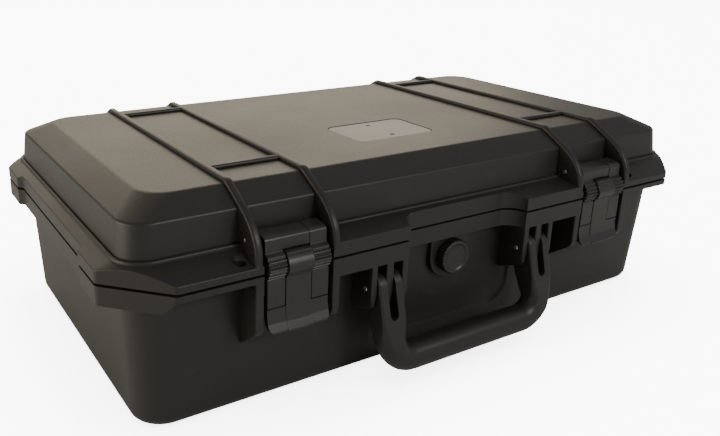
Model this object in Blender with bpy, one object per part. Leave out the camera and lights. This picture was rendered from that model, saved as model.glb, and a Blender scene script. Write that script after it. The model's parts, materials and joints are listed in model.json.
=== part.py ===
"""Hard carrying case for a bench or handheld instrument.

A moulded base and lid joined at the rear by two pinned hinges and held shut at
the front by two latches.  A forked carry handle and a pressure valve sit on the
front wall.  Foam inside the base has a pocket for the instrument.

Frame: +X to the right along the length, -Y towards the front, +Z up, with the
origin in the middle of the flat underside.  Sizes below are in millimetres.
"""

import math

import bmesh
import bpy
from mathutils import Matrix, Vector

MM = 0.001

# ---------------------------------------------------------------- base and rim
TUB_HALF_LENGTH = 226.2        # outer half length of the base at the floor
TUB_HALF_DEPTH = 120.7         # outer half depth of the base at the floor
DRAFT = 3.9 / 86.0             # outward lean of the base walls
TUB_CORNER = 20.6              # radius of the upright corners
BOTTOM_RADIUS = 8.0            # rounded edge round the floor
WALL = 3.4
PARTING_Z = 98.5               # level of the hinge axis and of the closed gap
PARTING_GAP = 1.4
RIM_BOTTOM_Z = 86.0            # underside of the base rim
PADLOCK_RIM_Z = 94.0           # underside of the thin rim round a padlock hole

CORNER_CUT = (33.8, 35.4)      # rim corner cut, along X and along Y
EAR_RAMP = 3.3                 # corner bumpers stand this far proud of the side
RIM_FRONT = TUB_HALF_DEPTH + 23.8
RIM_REAR = TUB_HALF_DEPTH + 14.3
RIM_SIDE = TUB_HALF_LENGTH + 15.3
EAR_SIDE = RIM_SIDE + EAR_RAMP
EAR_START = RIM_FRONT - CORNER_CUT[1] - 30.8  # where a bumper begins, from the middle

# ------------------------------------------------------------------------ lid
TOP_Z = 143.0
HAT_FOOT_Z = 112.2             # where the raised lid meets the sloping rim
HAT_EDGE_Z = 133.2             # where its wide chamfer begins
HAT_CORNER = 18.0
HAT_FOOT = (TUB_HALF_LENGTH + 6.5, TUB_HALF_DEPTH + 3.8)  # half length and half depth at each level
HAT_EDGE = (HAT_FOOT[0] - 2.2, HAT_FOOT[1] - 2.1)
HAT_TOP = (HAT_EDGE[0] - 18.0, HAT_EDGE[1] - 18.0)
RIM_SLOPE = 0.42               # fall of the rim roof, outwards
MIDDLE_RIM_Z = 108.2           # higher front edge of the rim between the latches
BEAD_WIDTH = 2.6
BEAD_HEIGHT = 1.1

RIB_X = (108.3, 160.9)         # the ribs straddle each latch and hinge
RIB_WIDTH = 5.3
RIB_HEIGHT = 3.0
FIN_START = 1.6                # a fin leaves the chamfer this far outside it
FIN_SHOULDER_Z = 108.0         # a front fin is upright up to here
CROSSBAR_Y = (28.4 - HAT_TOP[1], HAT_TOP[1] - 21.4)
CROSSBAR_WIDTH = 5.0
CROSSBAR_STEP = 0.4            # the bars stop this far below the ribs

# ----------------------------------------------------------------------- seal
SEAL_WIDTH = 3.6
SEAL_OFFSET = 3.9              # from the inner wall to the middle of the seal
SEAL_HEIGHT = 4.5
GROOVE_DEPTH = 4.0
FIT = 0.4                      # gap kept between pieces that seat on each other

# --------------------------------------------------------------------- hinges
HINGE_Y = RIM_REAR + 6.5
KNUCKLE_RADIUS = 5.5
HINGE_PIN_RADIUS = 2.0
LID_KNUCKLE = 20.0             # width of the lid's knuckle
BASE_KNUCKLE = 12.0
KNUCKLE_GAP = 0.5
PIN_PLAY = 0.3

# -------------------------------------------------------------------- latches
LATCH_X = 0.5 * (RIB_X[0] + RIB_X[1])
LATCH_WIDTH = 42.0
TONGUE_WIDTH = 17.3
TONGUE_PLAY = 0.45
LATCH_RECESS_Y = RIM_FRONT - 14.5  # the rims are cut back to here behind a latch
LINK_PIVOT = (-RIM_FRONT + 14.9, 115.8)  # (y, z) of the pin through the lid fins
LINK_BOSS = 4.5
LINK_PIN_RADIUS = 1.75
LEVER_PIVOT = (-RIM_FRONT + 3.5, 100.8)  # (y, z) of the pin through the link
LEVER_BARREL = 6.6
LEVER_PIN_RADIUS = 1.5
LINK_BOTTOM_Z = 75.9
LINK_PLATE_Z = 110.2           # underside of the plate above the tongue
LIP_TOP_Z = 75.2               # the wide lip begins just under the link
LIP_BOTTOM_Z = 59.6
GRIP_GROOVES = 5
CATCH_LIP_Y = RIM_FRONT - 11.0  # the base's catch reaches forward to here
CATCH_LIP_Z = (84.0, 88.0)
HOOK_CLEARANCE = 0.5           # the hook stops this far in front of the catch

# --------------------------------------------------------------------- handle
HANDLE_PIVOT = (-RIM_FRONT + 7.1, 68.9)  # (y, z) of the handle pins
HANDLE_HALF_WIDTH = 76.6
GRIP_HALF_WIDTH = 57.6         # clear half width between the arms
GRIP_BOTTOM_Z = 9.0
GRIP_HEIGHT = 19.0
GRIP_FRONT_Y = -RIM_FRONT - 13.5
GRIP_DEPTH = 18.0
GRIP_SWEEP = (26.5, 7.5)        # outer and inner radius of the handle's corners
FORK_RADIUS = 9.6
FORK_SLOT = 6.4
FORK_SLOT_BOTTOM_Z = 49.3
EAR_PLAY = 0.45                # between a fork prong and a bracket ear
EAR_OUTER_WIDTH = 4.4
EAR_TIP_Z = 57.0
HANDLE_PIN_RADIUS = 2.0
OPENING_HALF_WIDTH = 52.5      # front rim stepped back behind the grip
OPENING_Y = RIM_FRONT - 13.6
HAND_RECESS_HALF_WIDTH = 61.5
HAND_RECESS_BOTTOM_Z = 22.0
HAND_RECESS_DEPTH = 1.5

# ---------------------------------------------------------------------- valve
VALVE_Z = 71.0
VALVE_BOSS_RADIUS = 17.3
VALVE_BOSS_PROUD = 2.1
VALVE_STEM_RADIUS = 6.0
VALVE_DISC_RADIUS = 10.8
VALVE_DISC = 1.2
GASKET_RADIUS = 10.4
GASKET_THICKNESS = 0.9
FACE_SEAL = (3.2, 5.6)         # inner and outer radius of the knob's face seal
FACE_SEAL_THICKNESS = 0.9
KNOB_RADIUS = 12.5
KNOB_THICKNESS = 6.8
KNOB_TEETH = 30
NUT_ACROSS = 19.0
NUT_THICKNESS = 4.5

# ------------------------------------------------------------------ nameplate
PLATE_LENGTH = 68.0
PLATE_DEPTH = 45.0
PLATE_CORNER = 6.0
PLATE_CENTRE = (-3.5, -45.5)
PLATE_THICKNESS = 0.6
PLATE_RECESS = 1.2
PLATE_PIN_RADIUS = 1.5
PLATE_PIN_Y = 15.0

# -------------------------------------------------------------- padlock holes
PADLOCK_HOLE_RADIUS = 3.6
PADLOCK_X = 170.0
PADLOCK_Y = -RIM_FRONT + 7.2

# ----------------------------------------------------------------------- foam
FOAM_CLEARANCE = 0.8
PAD_THICKNESS = 12.0
POCKET_HALF_LENGTH = 150.0
POCKET_HALF_DEPTH = 80.0
POCKET_CORNER = 12.0
POCKET_FLOOR_Z = 38.0
POCKET_Y = 5.0
FINGER_RADIUS = 15.0

ARC_STEPS = 6                  # straight pieces in a quarter circle

BASE_TOP_Z = PARTING_Z - PARTING_GAP / 2
LID_BOTTOM_Z = PARTING_Z + PARTING_GAP / 2


# ------------------------------------------------------------------- materials
def material(name, colour, roughness, metallic=0.0):
    """A plain Principled material, shared by every piece that names it."""
    made = bpy.data.materials.get(name) or bpy.data.materials.new(name)
    made.use_nodes = True
    shader = made.node_tree.nodes["Principled BSDF"]
    shader.inputs["Base Color"].default_value = (*colour, 1.0)
    shader.inputs["Roughness"].default_value = roughness
    shader.inputs["Metallic"].default_value = metallic
    return made


def case_plastic():
    return material("case_plastic", (0.022, 0.021, 0.018), 0.5)


def latch_plastic():
    return material("latch_plastic", (0.026, 0.025, 0.023), 0.42)


def pin_steel():
    return material("pin_steel", (0.55, 0.55, 0.54), 0.3, 1.0)


def plate_plastic():
    return material("plate_plastic", (0.05, 0.047, 0.042), 0.38)


def seal_rubber():
    return material("seal_rubber", (0.012, 0.012, 0.012), 0.7)


def foam():
    return material("foam", (0.03, 0.03, 0.032), 0.95)


# --------------------------------------------------------------------- objects
def add_object(name, mesh_bm, finish, origin=(0.0, 0.0, 0.0)):
    """Turn a mesh made in millimetres into an object with its origin on origin."""
    bmesh.ops.recalc_face_normals(mesh_bm, faces=mesh_bm.faces[:])
    bmesh.ops.translate(mesh_bm, vec=-Vector(origin), verts=mesh_bm.verts[:])
    bmesh.ops.scale(mesh_bm, vec=(MM, MM, MM), verts=mesh_bm.verts[:])
    mesh = bpy.data.meshes.new(name)
    mesh_bm.to_mesh(mesh)
    mesh_bm.free()
    mesh.materials.append(finish)
    made = bpy.data.objects.new(name, mesh)
    made.location = Vector(origin) * MM
    bpy.context.scene.collection.objects.link(made)
    return made


def add_tool(name, mesh_bm):
    """A solid that only cuts or joins another one."""
    tool = add_object(name, mesh_bm, case_plastic())
    tool.hide_render = True
    tool.display_type = "WIRE"
    return tool


def combine(target, operation, tools):
    """Join tools to target, or cut them from it, all in one Boolean modifier."""
    group = bpy.data.collections.new(f"{target.name}_{operation}_{len(target.modifiers)}")
    group.hide_render = True
    for tool in tools:
        group.objects.link(tool)
    change = target.modifiers.new(group.name, "BOOLEAN")
    change.operation = operation
    change.solver = "EXACT"
    change.operand_type = "COLLECTION"
    change.collection = group


def add_bevel(target, width, segments, angle=30.0):
    """Round the sharp edges of target by width millimetres."""
    change = target.modifiers.new("rounded_edges", "BEVEL")
    change.width = width * MM
    change.segments = segments
    change.limit_method = "ANGLE"
    change.angle_limit = math.radians(angle)


def attach(child, parent):
    """Parent child without moving it."""
    child.parent = parent
    child.matrix_parent_inverse = Matrix.Translation(-parent.location)


def add_axis(name, origin):
    """An empty on a joint's axis that carries the pieces which turn on it."""
    axis = bpy.data.objects.new(name, None)
    axis.location = Vector(origin) * MM
    axis.empty_display_size = 10 * MM
    bpy.context.scene.collection.objects.link(axis)
    return axis


# ---------------------------------------------------------------- plane shapes
def arc(centre, radius, start, end, steps=ARC_STEPS):
    """Points along an arc, with angles in degrees and both ends included."""
    rx, ry = radius if isinstance(radius, tuple) else (radius, radius)
    points = []
    for index in range(steps + 1):
        angle = math.radians(start + (end - start) * index / steps)
        points.append((centre[0] + rx * math.cos(angle), centre[1] + ry * math.sin(angle)))
    return points


def curve(start, pull, end, steps=8):
    """A smooth bend from start to end whose ends both point at pull."""
    points = []
    for index in range(steps + 1):
        t = index / steps
        weights = ((1.0 - t) ** 2, 2.0 * t * (1.0 - t), t * t)
        points.append(tuple(sum(w * p[axis] for w, p in zip(weights, (start, pull, end))) for axis in (0, 1)))
    return points


def circle(centre, radius, sides=20):
    return arc(centre, radius, 0.0, 360.0 - 360.0 / sides, sides - 1)


def rounded_rectangle(half_x, half_y, radius, centre=(0.0, 0.0)):
    """A rectangle with round corners, anticlockwise from the right side."""
    points = []
    for quarter, (sx, sy) in enumerate(((1, 1), (-1, 1), (-1, -1), (1, -1))):
        corner = (centre[0] + sx * (half_x - radius), centre[1] + sy * (half_y - radius))
        points += arc(corner, radius, 90.0 * quarter, 90.0 * quarter + 90.0)
    return points


def prism(outline, axis, low, high, bm=None):
    """Extrude a plane outline along X, Y or Z from low to high.

    The outline's two numbers are (y, z) for X, (x, z) for Y and (x, y) for Z.
    """
    bm = bm or bmesh.new()
    place = {
        "X": lambda a, b, c: (c, a, b),
        "Y": lambda a, b, c: (a, c, b),
        "Z": lambda a, b, c: (a, b, c),
    }[axis]
    rings = [[bm.verts.new(place(a, b, level)) for a, b in outline] for level in (low, high)]
    bridge(bm, rings)
    return bm


def bridge(bm, rings):
    """Skin a stack of rings that have equal counts, and cap both ends."""
    count = len(rings[0])
    for lower, upper in zip(rings, rings[1:]):
        for index in range(count):
            after = (index + 1) % count
            bm.faces.new((lower[index], lower[after], upper[after], upper[index]))
    bm.faces.new(list(reversed(rings[0])))
    bm.faces.new(rings[-1])


def loft(levels):
    """A closed solid through rounded rectangles (half_x, half_y, radius, z)."""
    bm = bmesh.new()
    rings = []
    for half_x, half_y, radius, z in levels:
        outline = rounded_rectangle(half_x, half_y, radius)
        rings.append([bm.verts.new((x, y, z)) for x, y in outline])
    bridge(bm, rings)
    return bm


def ring(path_outer, path_inner, low, high):
    """A closed band between two outlines of equal count, from low to high."""
    bm = bmesh.new()
    count = len(path_outer)
    loops = [
        [bm.verts.new((x, y, z)) for x, y in path]
        for path, z in ((path_outer, low), (path_outer, high), (path_inner, high), (path_inner, low))
    ]
    for first, second in zip(loops, loops[1:] + loops[:1]):
        for index in range(count):
            after = (index + 1) % count
            bm.faces.new((first[index], first[after], second[after], second[index]))
    return bm


def box(low, high):
    outline = [(low[0], low[1]), (high[0], low[1]), (high[0], high[1]), (low[0], high[1])]
    return prism(outline, "Z", low[2], high[2])


def pin(name, centre, radius, low, high, sides=20):
    """A round pin along X whose end edges are slightly chamfered."""
    bm = bmesh.new()
    edge = 0.25 * radius
    rings = []
    for x, r in ((low, radius - edge), (low + edge, radius), (high - edge, radius), (high, radius - edge)):
        rings.append([bm.verts.new((x, y, z)) for y, z in circle(centre, r, sides)])
    bridge(bm, rings)
    return add_object(name, bm, pin_steel(), (0.5 * (low + high), *centre))


def mirror_outline(half):
    """Close an outline given from -Y to +Y on the right by its mirror image."""
    return half + [(-x, y) for x, y in reversed(half)]


# ------------------------------------------------------------------ base shell
def tub_half(z):
    """Outer half length and half depth of the base walls at height z."""
    return TUB_HALF_LENGTH + DRAFT * z, TUB_HALF_DEPTH + DRAFT * z


def tub_levels(inset, floor_z, top_z, edge_radius):
    """Levels of a drafted tub that is inset from the outer walls."""
    levels = []
    for step in range(4):
        angle = math.radians(30.0 * step)
        z = floor_z + edge_radius * (1.0 - math.cos(angle))
        pull = edge_radius * (1.0 - math.sin(angle))
        half_x, half_y = tub_half(z)
        corner = max(TUB_CORNER - inset - 0.5 * pull, 2.0)
        levels.append((half_x - inset - pull, half_y - inset - pull, corner, z))
    half_x, half_y = tub_half(top_z)
    levels.append((half_x - inset, half_y - inset, TUB_CORNER - inset, top_z))
    return levels


def rim_outline():
    """Plan of both rims: corners cut off, and bumpers standing proud."""
    rear_y = RIM_FRONT - CORNER_CUT[1]
    rear_cut_x = EAR_SIDE - (RIM_REAR - rear_y) * CORNER_CUT[0] / CORNER_CUT[1]
    right = [
        (EAR_SIDE - CORNER_CUT[0], -RIM_FRONT),
        (EAR_SIDE, -RIM_FRONT + CORNER_CUT[1]),
        (EAR_SIDE, -EAR_START),
        (RIM_SIDE, -EAR_START + EAR_RAMP),
        (RIM_SIDE, EAR_START - EAR_RAMP),
        (EAR_SIDE, EAR_START),
        (EAR_SIDE, rear_y),
        (rear_cut_x, RIM_REAR),
    ]
    return mirror_outline(right)


def opening_cutter():
    """The bay behind the grip, with its inner corners swept round."""
    depth = RIM_FRONT - OPENING_Y
    sweep = arc((OPENING_HALF_WIDTH - depth, -RIM_FRONT), (depth, depth), 90.0, 0.0)
    beyond = -RIM_FRONT - 10.0
    outline = sweep + [(OPENING_HALF_WIDTH, beyond)]
    outline = outline + [(-x, y) for x, y in reversed(outline)]
    return add_tool("cut_opening", prism(outline, "Z", RIM_BOTTOM_Z - 4.0, HAT_FOOT_Z + 8.0))


def fin_range(x):
    return x - RIB_WIDTH / 2, x + RIB_WIDTH / 2


def signed(values):
    """Each value on both sides of the middle."""
    return [side * value for value in values for side in (-1, 1)]


def base_fin(x, name):
    """Front and rear fins of the base, at one rib."""
    wall_front = -(TUB_HALF_DEPTH + DRAFT * BASE_TOP_Z) + WALL / 2
    low_front = -(TUB_HALF_DEPTH + DRAFT * 45.0) + WALL / 2
    front = [
        (-RIM_FRONT, BASE_TOP_Z), (-RIM_FRONT, 64.8), (-RIM_FRONT + 1.3, 61.6),
        (-RIM_FRONT + 4.0, 58.6), (low_front - 1.4, 46.0), (low_front, 45.0), (wall_front, BASE_TOP_Z),
    ]
    rear = [
        (RIM_REAR, BASE_TOP_Z), (RIM_REAR, 72.0), (RIM_REAR - 1.0, 69.0),
        (-low_front, 58.0), (-wall_front, BASE_TOP_Z),
    ]
    low, high = fin_range(x)
    return [
        add_tool(name + "_front", prism(front, "X", low, high)),
        add_tool(name + "_rear", prism(rear, "X", low, high)),
    ]


def ear_positions():
    """Middle and width of the three ears that carry one fork."""
    arm_middle = 0.5 * (HANDLE_HALF_WIDTH + GRIP_HALF_WIDTH)
    outer_gap = EAR_PLAY + EAR_OUTER_WIDTH / 2
    return (
        (GRIP_HALF_WIDTH - outer_gap, EAR_OUTER_WIDTH),
        (arm_middle, FORK_SLOT - 2 * EAR_PLAY),
        (HANDLE_HALF_WIDTH + outer_gap, EAR_OUTER_WIDTH),
    )


def bracket_ear(x, width, name):
    """One ear under the front rim that narrows towards its tip."""
    wall_y = -(TUB_HALF_DEPTH + DRAFT * 60.0) + WALL / 2
    top, neck = RIM_BOTTOM_Z + 3.0, HANDLE_PIVOT[1] - 5.0
    bm = bmesh.new()
    rings = []
    for y, drop in ((-RIM_FRONT, -2.5), (-RIM_FRONT + 1.8, 0.0), (wall_y, 9.0)):
        half = [(0.5 * width, top), (0.5 * width, neck - drop), (0.25 * width, EAR_TIP_Z - drop)]
        outline = half + [(-a, z) for a, z in reversed(half)]
        rings.append([bm.verts.new((x + a, y, z)) for a, z in outline])
    bridge(bm, rings)
    return add_tool(name, bm)


def hinge_lug(x_low, x_high, upper, name):
    """A hinge knuckle with its web: upper for the lid, lower for the base."""
    centre = (HINGE_Y, PARTING_Z)
    if upper:
        outline = arc(centre, KNUCKLE_RADIUS, -168.0, 90.0, 14)
        outline += [(RIM_REAR - 4.0, HAT_FOOT_Z - 4.2), (RIM_REAR - 4.0, LID_BOTTOM_Z + 0.4)]
        outline += [(HINGE_Y - KNUCKLE_RADIUS - 0.3, LID_BOTTOM_Z + 0.4)]
    else:
        outline = arc(centre, KNUCKLE_RADIUS, 168.0, -90.0, 14)
        outline += [(RIM_REAR - 4.0, RIM_BOTTOM_Z + 2.0), (RIM_REAR - 4.0, BASE_TOP_Z - 0.4)]
        outline += [(HINGE_Y - KNUCKLE_RADIUS - 0.3, BASE_TOP_Z - 0.4)]
    return add_tool(name, prism(outline, "X", x_low, x_high))


def hinge_spans(side):
    """X ranges of one hinge: the lid knuckle, and the base knuckles beside it."""
    middle = side * LATCH_X
    half = LID_KNUCKLE / 2
    lid = (middle - half, middle + half)
    base = [
        (middle - half - KNUCKLE_GAP - BASE_KNUCKLE, middle - half - KNUCKLE_GAP),
        (middle + half + KNUCKLE_GAP, middle + half + KNUCKLE_GAP + BASE_KNUCKLE),
    ]
    return lid, base


def hinge_bore(side, name):
    middle = side * LATCH_X
    half = LID_KNUCKLE / 2 + KNUCKLE_GAP + BASE_KNUCKLE + 5.0
    bore = circle((HINGE_Y, PARTING_Z), HINGE_PIN_RADIUS + PIN_PLAY)
    return add_tool(name, prism(bore, "X", middle - half, middle + half))


def latch_bay(side, name):
    """Room behind a latch, cut out of both rims between the fins."""
    low, high = RIB_X[0] + RIB_WIDTH / 2, RIB_X[1] - RIB_WIDTH / 2
    x_low, x_high = sorted((side * low, side * high))
    profile = [
        (-RIM_FRONT - 8.0, RIM_BOTTOM_Z - 6.0), (-LATCH_RECESS_Y, RIM_BOTTOM_Z - 6.0),
        (-LATCH_RECESS_Y, HAT_FOOT_Z - 2.4), (-HAT_FOOT[1] - 0.4, HAT_FOOT_Z - 2.4),
        (-HAT_FOOT[1] - 0.4, HAT_FOOT_Z + 8.0), (-RIM_FRONT - 8.0, HAT_FOOT_Z + 8.0),
    ]
    return add_tool(name, prism(profile, "X", x_low, x_high))


def padlock_cutters():
    """Two round holes, and the thin rim round each, which goes on round the right corner."""
    made = []
    thin_low = RIB_X[1] + RIB_WIDTH / 2
    thin_high = EAR_SIDE - CORNER_CUT[0]
    wall_y = tub_half(RIM_BOTTOM_Z)[1] + 0.3
    slope = (PADLOCK_RIM_Z - RIM_BOTTOM_Z) * 0.8
    for side, word in ((-1, "left"), (1, "right")):
        hole = circle((side * PADLOCK_X, PADLOCK_Y), PADLOCK_HOLE_RADIUS, 18)
        made.append(add_tool("cut_padlock_" + word, prism(hole, "Z", 70.0, 125.0)))
        profile = [
            (thin_low, RIM_BOTTOM_Z - 3.0), (thin_high + slope + 3.0, RIM_BOTTOM_Z - 3.0),
            (thin_high + slope, RIM_BOTTOM_Z), (thin_high, PADLOCK_RIM_Z), (thin_low, PADLOCK_RIM_Z),
        ]
        profile = [(side * x, z) for x, z in profile]
        made.append(add_tool("cut_thin_rim_" + word, prism(profile, "Y", -RIM_FRONT - 5.0, -wall_y)))
    corner_y = -RIM_FRONT + CORNER_CUT[1]
    profile = [
        (-RIM_FRONT - 5.0, RIM_BOTTOM_Z - 3.0), (corner_y + slope, RIM_BOTTOM_Z - 3.0),
        (corner_y, PADLOCK_RIM_Z), (-RIM_FRONT - 5.0, PADLOCK_RIM_Z),
    ]
    made.append(add_tool("cut_thin_corner", prism(profile, "X", thin_high - 1.0, EAR_SIDE + 5.0)))
    return made


def valve_boss():
    outline = arc((0.0, VALVE_Z), VALVE_BOSS_RADIUS, 180.0, 360.0, 16)
    outline += [(VALVE_BOSS_RADIUS, RIM_BOTTOM_Z + 2.0), (-VALVE_BOSS_RADIUS, RIM_BOTTOM_Z + 2.0)]
    wall_y = tub_half(VALVE_Z)[1]
    return add_tool("join_valve_boss", prism(outline, "Y", -valve_face(), -wall_y + WALL / 2))


def valve_face():
    """Distance of the valve boss's front face from the middle."""
    return tub_half(VALVE_Z)[1] + VALVE_BOSS_PROUD


def hand_recess():
    """A shallow drafted pocket in the front wall behind the grip."""
    bm = bmesh.new()
    half, low, high, radius = HAND_RECESS_HALF_WIDTH, HAND_RECESS_BOTTOM_Z, RIM_BOTTOM_Z + 2.0, 16.0
    outline = arc((half - radius, low + radius), radius, -90.0, 0.0) + [(half, high)]
    outline = outline + [(-x, z) for x, z in reversed(outline)]
    front = [bm.verts.new((x, -tub_half(z)[1] - 20.0, z)) for x, z in outline]
    back = [bm.verts.new((x, -tub_half(z)[1] + HAND_RECESS_DEPTH, z)) for x, z in outline]
    bridge(bm, [front, back])
    return add_tool("cut_hand_recess", bm)


def handle_bore(radius, name):
    low, high = ear_positions()[0][0] - 10.0, ear_positions()[2][0] + 10.0
    made = []
    for side, word in ((-1, "left"), (1, "right")):
        x_low, x_high = sorted((side * low, side * high))
        bore = prism(circle(HANDLE_PIVOT, radius), "X", x_low, x_high)
        made.append(add_tool(name + "_" + word, bore))
    return made


def build_base():
    top = BASE_TOP_Z
    base = add_object("case_base", loft(tub_levels(0.0, 0.0, top, BOTTOM_RADIUS)), case_plastic())
    rim = add_tool("join_rim", prism(rim_outline(), "Z", RIM_BOTTOM_Z, top))
    combine(base, "DIFFERENCE", [hand_recess()])
    thin = padlock_cutters()
    combine(rim, "DIFFERENCE", [tool for tool in thin if "thin" in tool.name] + [opening_cutter()])
    joins = [rim]
    for index, x in enumerate(signed(RIB_X)):
        joins += base_fin(x, f"join_base_fin_{index}")
    combine(base, "UNION", joins)
    combine(base, "DIFFERENCE", [latch_bay(-1, "cut_bay_left"), latch_bay(1, "cut_bay_right")])
    details = [valve_boss()]
    for side in (-1, 1):
        for index, (x, width) in enumerate(ear_positions()):
            details.append(bracket_ear(side * x, width, f"join_ear_{side + 1}_{index}"))
        for index, (low, high) in enumerate(hinge_spans(side)[1]):
            details.append(hinge_lug(low, high, False, f"join_base_knuckle_{side + 1}_{index}"))
        catch = box((side * LATCH_X - 8.0, -CATCH_LIP_Y, CATCH_LIP_Z[0]),
                    (side * LATCH_X + 8.0, -LATCH_RECESS_Y + 2.0, CATCH_LIP_Z[1]))
        details.append(add_tool(f"join_catch_{side + 1}", catch))
    combine(base, "UNION", details)
    cavity = add_tool("cut_base_cavity", loft(tub_levels(WALL, WALL, top + 6.0, 5.0)))
    bores = handle_bore(HANDLE_PIN_RADIUS + PIN_PLAY, "cut_handle_bore")
    bores += [hinge_bore(-1, "cut_base_hinge_left"), hinge_bore(1, "cut_base_hinge_right")]
    valve_bore = circle((0.0, VALVE_Z), VALVE_STEM_RADIUS + PIN_PLAY)
    bores.append(add_tool("cut_valve_bore", prism(valve_bore, "Y", -RIM_FRONT, -TUB_HALF_DEPTH + 20.0)))
    combine(base, "DIFFERENCE", [cavity] + bores + [tool for tool in thin if "padlock" in tool.name])
    return base


# ------------------------------------------------------------------- lid shell
def lid_levels():
    """Outer levels of the lid: sloping rim, bead, upright walls, chamfer."""
    spread = (HAT_FOOT_Z - LID_BOTTOM_Z) / RIM_SLOPE
    bead_top = HAT_FOOT_Z + BEAD_HEIGHT
    lean = (HAT_FOOT[0] - HAT_EDGE[0]) / (HAT_EDGE_Z - HAT_FOOT_Z)
    steps = (
        (spread, LID_BOTTOM_Z),
        (BEAD_WIDTH, HAT_FOOT_Z - RIM_SLOPE * BEAD_WIDTH),
        (BEAD_WIDTH * 0.9, HAT_FOOT_Z + BEAD_HEIGHT * 0.4),
        (BEAD_WIDTH * 0.45, bead_top),
        (-lean * BEAD_HEIGHT, bead_top),
    )
    levels = [(HAT_FOOT[0] + out, HAT_FOOT[1] + out, HAT_CORNER + out, z) for out, z in steps]
    return levels + [(*HAT_EDGE, HAT_CORNER, HAT_EDGE_Z), (*HAT_TOP, HAT_CORNER, TOP_Z)]


def lid_cavity_levels(inset, bottom_z):
    """Inner levels of the lid, drawn in by inset from its inner faces."""
    slope = (TOP_Z - HAT_EDGE_Z) / (HAT_EDGE[0] - HAT_TOP[0])
    thickness = WALL + inset
    drop = thickness * math.hypot(1.0, slope)
    shoulder_z = HAT_EDGE_Z - drop + slope * thickness
    top_z = TOP_Z - thickness
    pull = HAT_EDGE[0] - HAT_TOP[0] - (top_z - (TOP_Z - drop)) / slope
    corner = HAT_CORNER - thickness
    return [
        (HAT_FOOT[0] - thickness, HAT_FOOT[1] - thickness, corner, bottom_z),
        (HAT_EDGE[0] - thickness, HAT_EDGE[1] - thickness, corner, shoulder_z),
        (HAT_EDGE[0] - pull, HAT_EDGE[1] - pull, corner, top_z),
    ]


def middle_rim():
    """The higher stretch of front rim between the latches."""
    profile = [
        (-RIM_FRONT, LID_BOTTOM_Z), (-RIM_FRONT, MIDDLE_RIM_Z),
        (-HAT_FOOT[1], HAT_FOOT_Z), (-HAT_FOOT[1] + 1.5, HAT_FOOT_Z), (-HAT_FOOT[1] + 1.5, LID_BOTTOM_Z),
    ]
    block = add_tool("join_middle_rim", prism(profile, "X", -RIB_X[0], RIB_X[0]))
    combine(block, "DIFFERENCE", [bpy.data.objects["cut_opening"]])
    return block


def rib(x, name):
    """A rib that runs over the lid and becomes a fin at the front and rear."""
    slope = (TOP_Z - HAT_EDGE_Z) / (HAT_EDGE[1] - HAT_TOP[1])
    rise = RIB_HEIGHT * math.hypot(1.0, slope)
    fin_y = HAT_EDGE[1] + FIN_START
    edge_z = HAT_EDGE_Z + rise - slope * FIN_START
    top_y = HAT_TOP[1] + (rise - RIB_HEIGHT) / slope
    front_z = edge_z - slope * (RIM_FRONT - fin_y)
    rear_z = edge_z - slope * (RIM_REAR - fin_y)
    front = curve((-RIM_FRONT, FIN_SHOULDER_Z), (-RIM_FRONT, front_z), (-fin_y, edge_z))
    rear = curve((fin_y, edge_z), (RIM_REAR, rear_z), (RIM_REAR, FIN_SHOULDER_Z))
    outer = [(-RIM_FRONT, LID_BOTTOM_Z)] + front
    outer += [(-top_y, TOP_Z + RIB_HEIGHT), (top_y, TOP_Z + RIB_HEIGHT)] + rear + [(RIM_REAR, LID_BOTTOM_Z)]
    sink = WALL / 3
    inner = [
        (HAT_FOOT[1] - sink, LID_BOTTOM_Z), (HAT_FOOT[1] - sink, HAT_FOOT_Z),
        (HAT_EDGE[1] - sink, HAT_EDGE_Z - 0.4),
        (HAT_TOP[1] - sink * 0.6, TOP_Z - sink),
    ]
    inner += [(-y, z) for y, z in reversed(inner)]
    low, high = fin_range(x)
    return add_tool(name, prism(outer + inner, "X", low, high))


def crossbar(side, y, name):
    low, high = sorted((side * RIB_X[0], side * RIB_X[1]))
    half, top = CROSSBAR_WIDTH / 2, TOP_Z + RIB_HEIGHT - CROSSBAR_STEP
    return add_tool(name, box((low, y - half, TOP_Z - 1.0), (high, y + half, top)))


def seal_path(offset):
    """Plan of the seal's middle line, moved outwards by offset."""
    half_x, half_y = tub_half(BASE_TOP_Z)
    out = SEAL_OFFSET - WALL + offset
    return rounded_rectangle(half_x + out, half_y + out, TUB_CORNER + out)


def lid_link_bore(side, name):
    low, high = RIB_X[0] - 6.0, RIB_X[1] + 6.0
    x_low, x_high = sorted((side * low, side * high))
    return add_tool(name, prism(circle(LINK_PIVOT, LINK_PIN_RADIUS + PIN_PLAY), "X", x_low, x_high))


def plate_pin_places():
    x, y = PLATE_CENTRE
    return {"front": (x, y - PLATE_PIN_Y), "rear": (x, y + PLATE_PIN_Y)}


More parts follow.
